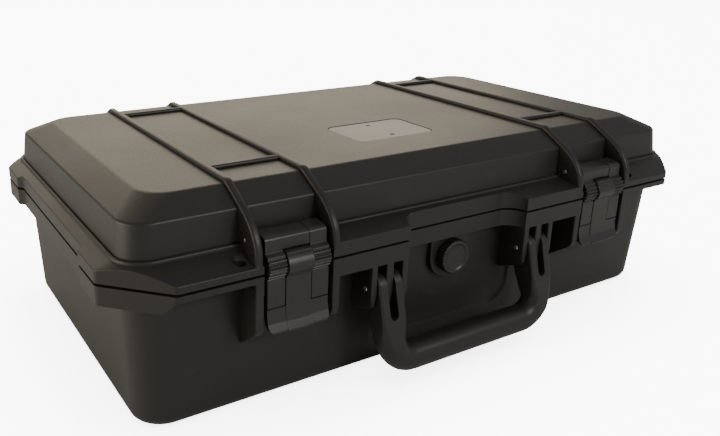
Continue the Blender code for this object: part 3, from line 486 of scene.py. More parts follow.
def math_node(
    tree: bpy.types.NodeTree, kind: str, first: object, second: object, clamp: bool = False
) -> bpy.types.NodeSocket:
    """Add a Math node.

    Args:
        tree: the tree it goes in.
        kind: its operation.
        first: a socket or a number.
        second: a socket or a number.
        clamp: keep the result between 0 and 1.

    Returns:
        Its output socket.
    """
    node = tree.nodes.new("ShaderNodeMath")
    node.operation = kind
    node.use_clamp = clamp
    for socket, value in zip(node.inputs, (first, second)):
        if isinstance(value, bpy.types.NodeSocket):
            tree.links.new(value, socket)
        else:
            socket.default_value = value
    return node.outputs[0]


def noise_node(
    tree: bpy.types.NodeTree,
    scale: object,
    detail: float,
    roughness: float = 0.5,
    stretch: Vector | None = None,
) -> bpy.types.NodeSocket:
    """Add a Noise Texture on Object coordinates.

    Args:
        tree: the tree it goes in.
        scale: its scale, a number or a socket.
        detail: its detail.
        roughness: how strong its fine octaves are.
        stretch: scale along each axis, or None for an even pattern.

    Returns:
        Its Fac socket.
    """
    place = tree.nodes.new("ShaderNodeTexCoord").outputs["Object"]
    if stretch is not None:
        mapping = tree.nodes.new("ShaderNodeMapping")
        mapping.inputs["Scale"].default_value = stretch
        tree.links.new(place, mapping.inputs["Vector"])
        place = mapping.outputs["Vector"]
    node = tree.nodes.new("ShaderNodeTexNoise")
    node.inputs["Detail"].default_value = detail
    node.inputs["Roughness"].default_value = roughness
    tree.links.new(place, node.inputs["Vector"])
    if isinstance(scale, bpy.types.NodeSocket):
        tree.links.new(scale, node.inputs["Scale"])
    else:
        node.inputs["Scale"].default_value = scale
    return node.outputs["Fac"]


def ramp_node(
    tree: bpy.types.NodeTree, value: bpy.types.NodeSocket, low: float, high: float
) -> bpy.types.NodeSocket:
    """Spread a narrow band of a value over 0 to 1.

    Args:
        tree: the tree it goes in.
        value: the value.
        low: what becomes 0.
        high: what becomes 1.

    Returns:
        The spread value.
    """
    node = tree.nodes.new("ShaderNodeMapRange")
    node.inputs["From Min"].default_value = low
    node.inputs["From Max"].default_value = high
    tree.links.new(value, node.inputs["Value"])
    return node.outputs["Result"]


def moulded_grain_group() -> bpy.types.NodeTree:
    """The fine spark-eroded texture of a moulded shell, with its height.

    Returns:
        A group with inputs Scale and Depth, and outputs Height and Pits.
    """
    outputs = {"Height": "NodeSocketFloat", "Pits": "NodeSocketFloat"}
    tree = new_group("moulded_grain", {"Scale": 900.0, "Depth": 1.0}, outputs)
    source, target = tree.nodes["in"], tree.nodes["out"]
    fine = noise_node(tree, source.outputs["Scale"], 2.0, 0.55)
    coarse_scale = math_node(tree, "MULTIPLY", source.outputs["Scale"], 0.31)
    coarse = noise_node(tree, coarse_scale, 2.0, 0.5)
    fine_part = math_node(tree, "MULTIPLY", fine, 0.65)
    coarse_part = math_node(tree, "MULTIPLY", coarse, 0.35)
    both = math_node(tree, "ADD", fine_part, coarse_part)
    height = math_node(tree, "MULTIPLY", both, source.outputs["Depth"])
    tree.links.new(height, target.inputs["Height"])
    tree.links.new(ramp_node(tree, fine, 0.42, 0.62), target.inputs["Pits"])
    return tree


def handling_group() -> bpy.types.NodeTree:
    """Where hands, dust and rubbing have changed a surface.

    Returns:
        A group with inputs Amount and Scale, and outputs Cloud, Scuff and Dust.
    """
    outputs = {"Cloud": "NodeSocketFloat", "Scuff": "NodeSocketFloat", "Dust": "NodeSocketFloat"}
    tree = new_group("handling", {"Amount": 1.0, "Scale": 9.0}, outputs)
    source, target = tree.nodes["in"], tree.nodes["out"]
    cloud = ramp_node(tree, noise_node(tree, source.outputs["Scale"], 3.0, 0.55), 0.3, 0.7)
    tree.links.new(math_node(tree, "MULTIPLY", cloud, source.outputs["Amount"]), target.inputs["Cloud"])
    streaks = noise_node(tree, 60.0, 3.0, 0.6, Vector((0.35, 1.9, 0.6)))
    scuff = ramp_node(tree, streaks, 0.63, 0.74)
    tree.links.new(math_node(tree, "MULTIPLY", scuff, source.outputs["Amount"]), target.inputs["Scuff"])
    normal = tree.nodes.new("ShaderNodeNewGeometry").outputs["Normal"]
    parts = tree.nodes.new("ShaderNodeSeparateXYZ")
    tree.links.new(normal, parts.inputs["Vector"])
    level = ramp_node(tree, parts.outputs["Z"], 0.75, 1.0)
    specks = ramp_node(tree, noise_node(tree, 420.0, 2.0, 0.6), 0.52, 0.78)
    dust = math_node(tree, "MULTIPLY", level, specks)
    tree.links.new(math_node(tree, "MULTIPLY", dust, source.outputs["Amount"]), target.inputs["Dust"])
    return tree


class Effects:
    """The node groups that several finishes share, made when first wanted."""

    makers: dict[str, Callable[[], bpy.types.NodeTree]] = {
        "moulded_grain": moulded_grain_group,
        "handling": handling_group,
    }

    @classmethod
    def place(cls, tree: bpy.types.NodeTree, name: str, **values: float) -> bpy.types.Node:
        """Put one of the groups in a material.

        Args:
            tree: the material's tree.
            name: which group.
            values: its inputs, by name.

        Returns:
            The group node.
        """
        group = bpy.data.node_groups.get(name) or cls.makers[name]()
        node = tree.nodes.new("ShaderNodeGroup")
        node.node_tree = group
        for socket, value in values.items():
            node.inputs[socket].default_value = value
        return node


def mix_colours(
    tree: bpy.types.NodeTree, share: bpy.types.NodeSocket, first: object, second: object
) -> bpy.types.NodeSocket:
    """Blend two colours.

    Args:
        tree: the material's tree.
        share: how much of the second shows.
        first: a colour or a socket.
        second: a colour or a socket.

    Returns:
        The blended colour.
    """
    node = tree.nodes.new("ShaderNodeMix")
    node.data_type = "RGBA"
    tree.links.new(share, node.inputs[0])
    for socket, value in ((node.inputs[6], first), (node.inputs[7], second)):
        if isinstance(value, bpy.types.NodeSocket):
            tree.links.new(value, socket)
        else:
            socket.default_value = (*value, 1.0)
    return node.outputs[2]


Colour = tuple[float, float, float]


@dataclass(frozen=True)
class Finish:
    """A surface finish: what every material of the case has in common."""

    name: str
    slot: str
    colour: Colour
    roughness: float

    def start(self) -> tuple[bpy.types.Material, bpy.types.NodeTree, bpy.types.Node]:
        """Begin the material.

        Returns:
            The material, its tree and its Principled node.
        """
        made = bpy.data.materials.new(self.name)
        made.use_nodes = True
        tree = made.node_tree
        shader = tree.nodes["Principled BSDF"]
        shader.inputs["Base Color"].default_value = (*self.colour, 1.0)
        shader.inputs["Roughness"].default_value = self.roughness
        return made, tree, shader

    def material(self) -> bpy.types.Material:
        """The finish's material, made once."""
        return bpy.data.materials.get(self.name) or self.build()

    def build(self) -> bpy.types.Material:
        """Make the material; each kind of finish has its own way."""
        return self.start()[0]

    def dress(self, piece: Piece) -> Piece:
        """Give a piece this finish.

        Args:
            piece: the piece.

        Returns:
            The same piece.
        """
        piece.data.materials.clear()
        piece.data.materials.append(self.material())
        return piece


@dataclass(frozen=True)
class MouldedPlastic(Finish):
    """Black polymer with a moulded grain, faint clouds and a little dust."""

    grain_scale: float = 900.0
    grain_depth: float = 1.0
    bump: float = 0.25
    clouds: float = 0.05
    worn_colour: Colour = (0.06, 0.057, 0.05)

    def build(self) -> bpy.types.Material:
        """Make the material.

        Returns:
            The finished material.
        """
        made, tree, shader = self.start()
        shader.inputs["IOR"].default_value = 1.49
        shader.inputs["Specular IOR Level"].default_value = 0.42
        grain = Effects.place(tree, "moulded_grain", Scale=self.grain_scale, Depth=self.grain_depth)
        handled = Effects.place(tree, "handling", Amount=1.0, Scale=9.0)
        rubbed = math_node(tree, "MULTIPLY", handled.outputs["Scuff"], 0.15)
        colour = mix_colours(tree, rubbed, self.colour, self.worn_colour)
        dusty = math_node(tree, "MULTIPLY", handled.outputs["Dust"], 0.035)
        colour = mix_colours(tree, dusty, colour, (0.30, 0.28, 0.25))
        tree.links.new(colour, shader.inputs["Base Color"])
        swing = math_node(tree, "MULTIPLY", handled.outputs["Cloud"], self.clouds)
        pits = math_node(tree, "MULTIPLY", grain.outputs["Pits"], 0.05)
        rough = math_node(tree, "ADD", math_node(tree, "ADD", swing, pits), self.roughness - self.clouds / 2)
        tree.links.new(rough, shader.inputs["Roughness"])
        bump = tree.nodes.new("ShaderNodeBump")
        bump.inputs["Strength"].default_value = self.bump
        bump.inputs["Distance"].default_value = 0.0002
        tree.links.new(grain.outputs["Height"], bump.inputs["Height"])
        tree.links.new(bump.outputs["Normal"], shader.inputs["Normal"])
        return made


@dataclass(frozen=True)
class DrawnSteel(Finish):
    """Steel wire with fine lines along X from drawing."""

    def build(self) -> bpy.types.Material:
        """Make the material.

        Returns:
            The finished material.
        """
        made, tree, shader = self.start()
        shader.inputs["Metallic"].default_value = 1.0
        lines = noise_node(tree, 900.0, 3.0, 0.6, Vector((0.05, 1.0, 1.0)))
        stain = ramp_node(tree, noise_node(tree, 160.0, 3.0), 0.45, 0.75)
        darker = tuple(0.62 * part for part in self.colour)
        tree.links.new(mix_colours(tree, stain, self.colour, darker), shader.inputs["Base Color"])
        rough = math_node(tree, "ADD", math_node(tree, "MULTIPLY", lines, 0.18), self.roughness - 0.09)
        tree.links.new(rough, shader.inputs["Roughness"])
        bump = tree.nodes.new("ShaderNodeBump")
        bump.inputs["Strength"].default_value = 0.15
        bump.inputs["Distance"].default_value = 0.0001
        tree.links.new(lines, bump.inputs["Height"])
        tree.links.new(bump.outputs["Normal"], shader.inputs["Normal"])
        return made


@dataclass(frozen=True)
class SoftRubber(Finish):
    """Dull extruded rubber with a faint bloom."""

    def build(self) -> bpy.types.Material:
        """Make the material.

        Returns:
            The finished material.
        """
        made, tree, shader = self.start()
        bloom = ramp_node(tree, noise_node(tree, 70.0, 4.0, 0.6), 0.45, 0.8)
        paler = tuple(3.0 * part for part in self.colour)
        tree.links.new(mix_colours(tree, bloom, self.colour, paler), shader.inputs["Base Color"])
        rough = math_node(tree, "ADD", math_node(tree, "MULTIPLY", bloom, 0.1), self.roughness)
        tree.links.new(rough, shader.inputs["Roughness"])
        bump = tree.nodes.new("ShaderNodeBump")
        bump.inputs["Strength"].default_value = 0.2
        bump.inputs["Distance"].default_value = 0.0002
        tree.links.new(noise_node(tree, 1400.0, 2.0), bump.inputs["Height"])
        tree.links.new(bump.outputs["Normal"], shader.inputs["Normal"])
        return made


@dataclass(frozen=True)
class OpenFoam(Finish):
    """Open cell foam: a web of cells whose hollows are darkened as painted shade, with a velvety edge."""

    cell_scale: float = 950.0

    def build(self) -> bpy.types.Material:
        """Make the material.

        Returns:
            The finished material.
        """
        made, tree, shader = self.start()
        place = tree.nodes.new("ShaderNodeTexCoord").outputs["Object"]
        cells = tree.nodes.new("ShaderNodeTexVoronoi")
        cells.feature = "DISTANCE_TO_EDGE"
        cells.inputs["Scale"].default_value = self.cell_scale
        tree.links.new(place, cells.inputs["Vector"])
        web = ramp_node(tree, cells.outputs["Distance"], 0.02, 0.3)
        # painted shade: the colour darkens away from the cell edges, into the sunken hollows of the cells
        painted_pore_shade = tuple(0.35 * part for part in self.colour)
        tree.links.new(mix_colours(tree, web, self.colour, painted_pore_shade), shader.inputs["Base Color"])
        shader.inputs["Sheen Weight"].default_value = 0.25
        shader.inputs["Sheen Roughness"].default_value = 0.6
        drape = math_node(tree, "ADD", math_node(tree, "MULTIPLY", noise_node(tree, 40.0, 3.0), 0.5), web)
        bump = tree.nodes.new("ShaderNodeBump")
        bump.invert = True
        bump.inputs["Strength"].default_value = 0.7
        bump.inputs["Distance"].default_value = 0.0005
        tree.links.new(drape, bump.inputs["Height"])
        tree.links.new(bump.outputs["Normal"], shader.inputs["Normal"])
        return made


@dataclass(frozen=True)
class PaleFloor(Finish):
    """A plain pale floor: near white to the eye, with a painted soft shade where the case stands."""

    lift: float = 0.6
    glow: float = 16.0
    contact_shade: float = 0.6
    contact_reach: float = 0.09

    def build(self) -> bpy.types.Material:
        """Make the material.

        Returns:
            The finished material.
        """
        made, tree, shader = self.start()
        glow = tree.nodes.new("ShaderNodeEmission")
        # painted contact shade: ambient occlusion dims the floor's glow near the case
        openness = tree.nodes.new("ShaderNodeAmbientOcclusion")
        openness.inputs["Distance"].default_value = self.contact_reach
        shade = math_node(tree, "MULTIPLY", openness.outputs["AO"], self.glow * self.contact_shade)
        strength = math_node(tree, "ADD", shade, self.glow * (1.0 - self.contact_shade))
        tree.links.new(strength, glow.inputs["Strength"])
        path = tree.nodes.new("ShaderNodeLightPath")
        share = math_node(tree, "MULTIPLY", path.outputs["Is Camera Ray"], self.lift)
        blend = tree.nodes.new("ShaderNodeMixShader")
        tree.links.new(share, blend.inputs[0])
        tree.links.new(shader.outputs[0], blend.inputs[1])
        tree.links.new(glow.outputs[0], blend.inputs[2])
        tree.links.new(blend.outputs[0], tree.nodes["Material Output"].inputs["Surface"])
        return made


SHELL = MouldedPlastic("case_shell", "case_plastic", (0.0135, 0.0125, 0.0105), 0.44, 900.0, 1.0, 0.14)
LATCH = MouldedPlastic("latch_moulding", "latch_plastic", (0.020, 0.019, 0.0165), 0.36, 1300.0, 0.7, 0.12)
GRIP = MouldedPlastic("handle_moulding", "latch_plastic", (0.0135, 0.0125, 0.011), 0.42, 1000.0, 0.9, 0.14)
KNOB = MouldedPlastic("vent_moulding", "latch_plastic", (0.016, 0.015, 0.013), 0.38, 1500.0, 0.6, 0.12)
PLATE = MouldedPlastic("nameplate_moulding", "plate_plastic", (0.045, 0.042, 0.036), 0.36, 1500.0, 0.5, 0.08)
FITTING = MouldedPlastic("vent_fitting", "plate_plastic", (0.03, 0.029, 0.027), 0.45, 1500.0, 0.5, 0.14)
PIN = DrawnSteel("drawn_pin", "pin_steel", (0.58, 0.57, 0.55), 0.34)
DARK_PIN = DrawnSteel("blackened_pin", "pin_steel", (0.030, 0.029, 0.027), 0.5)
SEAL = SoftRubber("seal_rubber_skin", "seal_rubber", (0.012, 0.012, 0.012), 0.66)
FOAM = OpenFoam("case_foam", "foam", (0.034, 0.034, 0.036), 0.95)
FLOOR = PaleFloor("floor_paint", "", (0.86, 0.86, 0.86), 0.7)


# ------------------------------------------------------------ shared dimensions
@dataclass(frozen=True)
class Rim:
    """The flange that both shells carry round the parting."""

    front: float = 144.5
    rear: float = 135.0
    side: float = 241.5
    ear_side: float = 244.8
    ear_start: float = 78.3
    ear_ramp: float = 3.3
    corner_cut: Point = (33.8, 35.4)
    base_bottom: float = 86.0
    base_top: float = 97.8
    lid_bottom: float = 99.2
    corner_radius: float = 5.0

    def outline(self) -> list[Point]:
        """Plan of the rim, with its corners a little rounded.

        Returns:
            The whole outline, from the front right corner.
        """
        rear_start = self.front - self.corner_cut[1]
        rear_cut = self.ear_side - (self.rear - rear_start) * self.corner_cut[0] / self.corner_cut[1]
        right = [
            (self.ear_side - self.corner_cut[0], -self.front),
            (self.ear_side, -rear_start),
            (self.ear_side, -self.ear_start),
            (self.side, -self.ear_start + self.ear_ramp),
            (self.side, self.ear_start - self.ear_ramp),
            (self.ear_side, self.ear_start),
            (self.ear_side, rear_start),
            (rear_cut, self.rear),
        ]
        radius = self.corner_radius
        radii = [radius, radius, 1.2, 2.0, 2.0, 1.2, radius, radius]
        return swept(mirrored(right), radii + radii[::-1], 4)


@dataclass(frozen=True)
class Ribs:
    """Where the ribs and fins stand, and how wide they are."""

    inner: float = 108.3
    outer: float = 160.9
    width: float = 5.3

    def middles(self) -> list[float]:
        """The middle of each rib, from left to right."""
        return [-self.outer, -self.inner, self.inner, self.outer]

    @property
    def latch_middle(self) -> float:
        """Halfway between the ribs of one side."""
        return (self.inner + self.outer) / 2


RIM = Rim()
RIBS = Ribs()
HINGE = joint_place("lid_hinge")
LINK = joint_place("latch_left_link")
LEVER = joint_place("latch_left_lever")
HANDLE = joint_place("handle_hinge")


@dataclass
class Bays:
    """The cuts that both shells share: latch bays, finger bay, bores."""

    recess: float = 130.0
    opening_half: float = 52.5
    opening_back: float = 130.9
    hat_foot: Point = (124.5, 112.2)
    padlock: Point = (170.0, -137.3)
    padlock_radius: float = 3.6
    padlock_flare: float = 0.7
    pin_play: float = 0.3

    def latch_bays(self) -> list[Piece]:
        """Room behind both latches.

        Returns:
            One cutter for each side.
        """
        foot_y, foot_z = self.hat_foot
        profile = [
            (-RIM.front - 8.0, 80.0), (-self.recess, 80.0), (-self.recess, foot_z - 2.4),
            (-foot_y - 0.4, foot_z - 2.4), (-foot_y - 0.4, foot_z + 8.0), (-RIM.front - 8.0, foot_z + 8.0),
        ]
        low, high = RIBS.inner + RIBS.width / 2, RIBS.outer - RIBS.width / 2
        return [
            prism(f"bay_{side.word}", profile, Along.X, *sorted((side.value * low, side.value * high)))
            for side in Side
        ]

    def opening(self) -> Piece:
        """The bay behind the grip, its inner corners swept round.

        Returns:
            The cutter.
        """
        depth = RIM.front - self.opening_back
        right = arc((self.opening_half - depth, -RIM.front), depth, 90.0, 0.0, 12)
        right.append((self.opening_half, -RIM.front - 10.0))
        return prism("opening", mirrored(right), Along.Z, 82.0, 120.0)

    def padlock_holes(self, top: float, bottom: float) -> list[Piece]:
        """A hole with flared mouths for each padlock.

        Args:
            top: height of the upper mouth.
            bottom: height of the lower mouth.

        Returns:
            The two cutters.
        """
        flare = self.padlock_flare
        levels = (
            (flare + 4.0, top + 4.0), (flare, top), (flare * 0.3, top - flare * 0.5), (0.0, top - flare),
            (0.0, bottom + flare), (flare * 0.3, bottom + flare * 0.5), (flare, bottom),
            (flare + 4.0, bottom - 4.0),
        )
        made = []
        for side in Side:
            middle = (side.value * self.padlock[0], self.padlock[1])
            rings = [
                [Vector((x, y, z)) for x, y in circle(middle, self.padlock_radius + extra, 32)]
                for extra, z in levels
            ]
            made.append(stack(f"padlock_{side.word}", rings))
        return made

    def bores(self, place: Point, radius: float, spans: Sequence[Point], name: str) -> list[Piece]:
        """Round bores along X.

        Args:
            place: (y, z) of the axis.
            radius: the pin's radius.
            spans: where each bore begins and ends.
            name: name for the cutters.

        Returns:
            One cutter for each span.
        """
        outline = circle(place, radius + self.pin_play, 28)
        return [prism(f"{name}_{i}", outline, Along.X, *sorted(span)) for i, span in enumerate(spans)]


# -------------------------------------------------------------------- knuckles
@dataclass
class HingeKnuckles:
    """The rear hinge knuckles of both shells."""

    radius: float = 5.5
    lid_width: float = 20.0
    base_width: float = 12.0
    gap: float = 0.5
    pin_radius: float = 2.0

    def lug(self, span: Point, upper: bool, name: str) -> Piece:
        """One knuckle with the web that carries it.

        Args:
            span: where it begins and ends along X.
            upper: on the lid, or else on the base.
            name: name of the piece.

        Returns:
            The lug.
        """
        y, z = HINGE
        if upper:
            outline = arc((y, z), self.radius, -168.0, 90.0, 22)
            outline += [(RIM.rear - 4.0, 108.0), (RIM.rear - 4.0, RIM.lid_bottom + 0.4)]
            outline += [(y - self.radius - 0.3, RIM.lid_bottom + 0.4)]
        else:
            outline = arc((y, z), self.radius, 168.0, -90.0, 22)
            outline += [(RIM.rear - 4.0, 88.0), (RIM.rear - 4.0, RIM.base_top - 0.4)]
            outline += [(y - self.radius - 0.3, RIM.base_top - 0.4)]
        return round_edges(prism(name, outline, Along.X, *span), 0.6, 2, 50.0)

    def lid_lugs(self) -> list[Piece]:
        """The lid's knuckles, one for each hinge."""
        half = self.lid_width / 2
        return [
            self.lug(about(side.value * RIBS.latch_middle, half), True, f"lid_lug_{side.word}")
            for side in Side
        ]

    def base_lugs(self) -> list[Piece]:
        """The base's knuckles, two for each hinge."""
        made = []
        inner = self.lid_width / 2 + self.gap
        for side in Side:
            for way in (-1, 1):
                middle = side.value * RIBS.latch_middle
                ends = sorted((middle + way * inner, middle + way * (inner + self.base_width)))
                made.append(self.lug((ends[0], ends[1]), False, f"base_lug_{side.word}_{way}"))
        return made

    def spans(self) -> list[Point]:
        """How far each hinge's bore reaches along X."""
        half = self.lid_width / 2 + self.gap + self.base_width + 5.0
        return [about(side.value * RIBS.latch_middle, half) for side in Side]


# ------------------------------------------------------------------------- lid
@dataclass
class LidShell:
    """The lid: a chamfered hat on a sloping rim, with ribs and a bead."""

    foot: Point = (232.7, 124.5)
    foot_z: float = 112.2
    corner: float = 18.0
    edge_in: float = 2.15
    edge_z: float = 133.2
    top_in: float = 20.15
    top_z: float = 143.0
    rim_slope: float = 0.42
    bead_width: float = 2.6
    bead_height: float = 1.1
    wall: float = 3.4
    rib_height: float = 3.0
    rib_bend: float = 9.0
    fin_start: float = 1.6
    shoulder_z: float = 108.0
    middle_rim_z: float = 108.2
    crossbars: tuple[float, float] = (-76.0, 83.0)
    crossbar_width: float = 5.0
    bays: Bays = field(default_factory=Bays)
    knuckles: HingeKnuckles = field(default_factory=HingeKnuckles)

    def level(self, out: float, z: float) -> tuple[float, float, float, float]:
        """One level of the lid at a distance outside the hat's foot."""
        return self.foot[0] + out, self.foot[1] + out, self.corner + max(out, 0.0), z

    def outer(self) -> Piece:
        """The hat, its bead and the sloping rim, in one solid.

        Returns:
            The solid, cut to the rim's plan.
        """
        spread = (self.foot_z - RIM.lid_bottom) / self.rim_slope
        width, height = self.bead_width, self.bead_height
        lean = self.edge_in / (self.edge_z - self.foot_z)
        section = [
            (spread, RIM.lid_bottom),
            (width, self.foot_z - self.rim_slope * width),
            (width * 0.98, self.foot_z + height * 0.1),
            (width * 0.84, self.foot_z + height * 0.66),
            (width * 0.56, self.foot_z + height),
            (width * 0.30, self.foot_z + height * 0.92),
            (-lean * height * 0.5, self.foot_z + height * 0.5),
            (-lean * 4.0, self.foot_z + 4.0),
            (-self.edge_in, self.edge_z),
            (-self.top_in, self.top_z),
            (-self.top_in - 14.0, self.top_z),
        ]
        radii = [0.0] * 8 + [2.4, 5.0, 0.0]
        levels = [self.level(out, z) for out, z in swept(section, radii, 5, closed=False)]
        shell = loft("lid_shell", levels)
        limit = prism("limit", RIM.outline(), Along.Z, RIM.lid_bottom - 6.0, self.top_z + 10.0)
        change_with(shell, Change.KEEP, [limit])
        merged(shell)
        round_chosen(shell, 0.55, 3, self.on_rim_edge)
        return shell

    def on_rim_edge(self, edge: bmesh.types.BMEdge) -> bool:
        """Whether an edge lies between the rim's upright face and a flat one."""
        first, second = (face.normal.z for face in edge.link_faces)
        upright = min(abs(first), abs(second)) < 0.2
        flat = max(abs(first), abs(second)) > 0.85
        return upright and flat and edge.verts[0].co.z < (self.foot_z - 1.5) * MM

    def rib(self, middle: float, name: str) -> Piece:
        """A rib over the lid that becomes a fin at the front and rear.

        Args:
            middle: its place along X.
            name: name of the piece.

        Returns:
            The rib.
        """
        slope = (self.top_z - self.edge_z) / (self.top_in - self.edge_in)
        rise = self.rib_height * math.hypot(1.0, slope)
        edge_y = self.foot[1] - self.edge_in
        top_y = self.foot[1] - self.top_in + (rise - self.rib_height) / slope
        fin_y = edge_y + self.fin_start
        edge_z = self.edge_z + rise - slope * self.fin_start
        front_z = edge_z - slope * (RIM.front - fin_y)
        rear_z = edge_z - slope * (RIM.rear - fin_y)
        front = curve((-RIM.front, self.shoulder_z), (-RIM.front, front_z), (-fin_y, edge_z))
        rear = curve((fin_y, edge_z), (RIM.rear, rear_z), (RIM.rear, self.shoulder_z))
        crest = self.top_z + self.rib_height
        bends = [0.0, self.rib_bend, self.rib_bend, 0.0]
        over = swept([front[-1], (-top_y, crest), (top_y, crest), rear[0]], bends, 4, closed=False)
        outer = [(-RIM.front, RIM.lid_bottom)] + front + over[1:-1] + rear + [(RIM.rear, RIM.lid_bottom)]
        sink = self.wall / 3
        inner = [
            (self.foot[1] - sink, RIM.lid_bottom), (self.foot[1] - sink, self.foot_z),
            (edge_y - sink, self.edge_z - 0.4), (self.foot[1] - self.top_in - sink * 0.6, self.top_z - sink),
        ]
        outline = outer + inner + [(-y, z) for y, z in reversed(inner)]
        half = RIBS.width / 2
        return round_edges(prism(name, outline, Along.X, middle - half, middle + half), 1.9, 4, 60.0)

    def middle_rim(self, opening: Piece) -> Piece:
        """The higher stretch of rim between the latches.

        Args:
            opening: the cutter of the finger bay, which is kept.

        Returns:
            The block.
        """
        inside = -self.foot[1] + 1.5
        profile = [
            (-RIM.front, RIM.lid_bottom), (-RIM.front, self.middle_rim_z), (-self.foot[1], self.foot_z),
            (inside, self.foot_z), (inside, RIM.lid_bottom),
        ]
        made = prism("middle_rim", profile, Along.X, -RIBS.inner, RIBS.inner)
        change_with(made, Change.CUT, [opening], keep=True)
        merged(made)
        round_chosen(made, 0.55, 3, self.on_rim_edge)
        return made

    def crossbar(self, side: Side, middle: float) -> Piece:
        """A low bar that joins two ribs.

        Args:
            side: which pair of ribs.
            middle: its place along Y.

        Returns:
            The bar.
        """
        low, high = sorted((side.value * RIBS.inner, side.value * RIBS.outer))
        half = self.crossbar_width / 2
        top = self.top_z + self.rib_height - 0.4
        foot = (low, middle - half, self.top_z - 1.0)
        bar = block(f"crossbar_{side.word}_{middle:.0f}", foot, (high, middle + half, top))
        return round_edges(bar, 2.0, 4)

    def cavity(self) -> Piece:
        """The room inside the lid.

        Returns:
            The cutter.
        """
        slope = (self.top_z - self.edge_z) / (self.top_in - self.edge_in)
        drop = self.wall * math.hypot(1.0, slope)
        shoulder = self.edge_z - drop + slope * self.wall
        ceiling = self.top_z - self.wall
        pull = self.top_in - (ceiling - (self.top_z - drop)) / slope
        radius = self.corner - self.wall
        section = [
            (self.foot[0] - self.wall, self.foot[1] - self.wall, radius, RIM.lid_bottom - 6.0),
            (*(foot - self.edge_in - self.wall for foot in self.foot), radius, shoulder),
            (self.foot[0] - pull, self.foot[1] - pull, radius, ceiling),
        ]
        return loft("lid_cavity", section)

    def plate_recess(self) -> list[Piece]:
        """The shallow seat of the nameplate.

        Returns:
            The cutter, slightly wider at its mouth.
        """
        low, high = node_box("nameplate")
        middle = ((low.x + high.x) / 2, (low.y + high.y) / 2)
        half_x, half_y = (high.x - low.x) / 2 + 0.4, (high.y - low.y) / 2 + 0.4
        rings = []
        for extra, rise in ((0.0, -1.2), (0.0, -0.25), (0.35, 0.05), (3.0, 4.0)):
            outline = rounded_rectangle(half_x + extra, half_y + extra, 6.4 + extra, middle)
            rings.append([Vector((x, y, self.top_z + rise)) for x, y in outline])
        return [stack("plate_recess", rings)]

    def groove(self) -> Piece:
        """The channel in the rim that holds the seal.

        Returns:
            The cutter.
        """
        high = node_box("lid_seal")[1]
        play, seal_width, corner = 0.4, 3.6, 25.6
        half_x, half_y = high.x + play, high.y + play
        outer = loft("groove", [
            (half_x, half_y, corner, RIM.lid_bottom - 3.0), (half_x, half_y, corner, high.z + play),
        ])
        width = seal_width + 2.0 * play
        inner = loft("groove_core", [
            (half_x - width, half_y - width, corner - width, RIM.lid_bottom - 5.0),
            (half_x - width, half_y - width, corner - width, high.z + 3.0),
        ])
        change_with(outer, Change.CUT, [inner])
        return outer

    def build(self) -> Piece:
        """Model and dress the lid.

        Returns:
            The finished shell.
        """
        shell = self.outer()
        opening = self.bays.opening()
        ribs = [self.rib(middle, f"rib_{i}") for i, middle in enumerate(RIBS.middles())]
        bars = [self.crossbar(side, middle) for side in Side for middle in self.crossbars]
        change_with(shell, Change.JOIN, [self.middle_rim(opening)] + ribs + bars)
        change_with(shell, Change.CUT, self.bays.latch_bays() + [opening])
        change_with(shell, Change.JOIN, self.knuckles.lid_lugs())
        cuts = [self.cavity(), self.groove()] + self.plate_recess()
        cuts += self.bays.padlock_holes(106.9, RIM.lid_bottom)
        cuts += self.bays.bores(HINGE, self.knuckles.pin_radius, self.knuckles.spans(), "hinge_bore")
        reach = (RIBS.inner - 6.0, RIBS.outer + 6.0)
        spans = [(side.value * reach[0], side.value * reach[1]) for side in Side]
        cuts += self.bays.bores(LINK, 1.75, spans, "link_bore")
        change_with(shell, Change.CUT, cuts)
        merged(shell)
        even_shading(shell)
        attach(shell, "lid")
        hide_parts("case_lid")
        return SHELL.dress(shell)


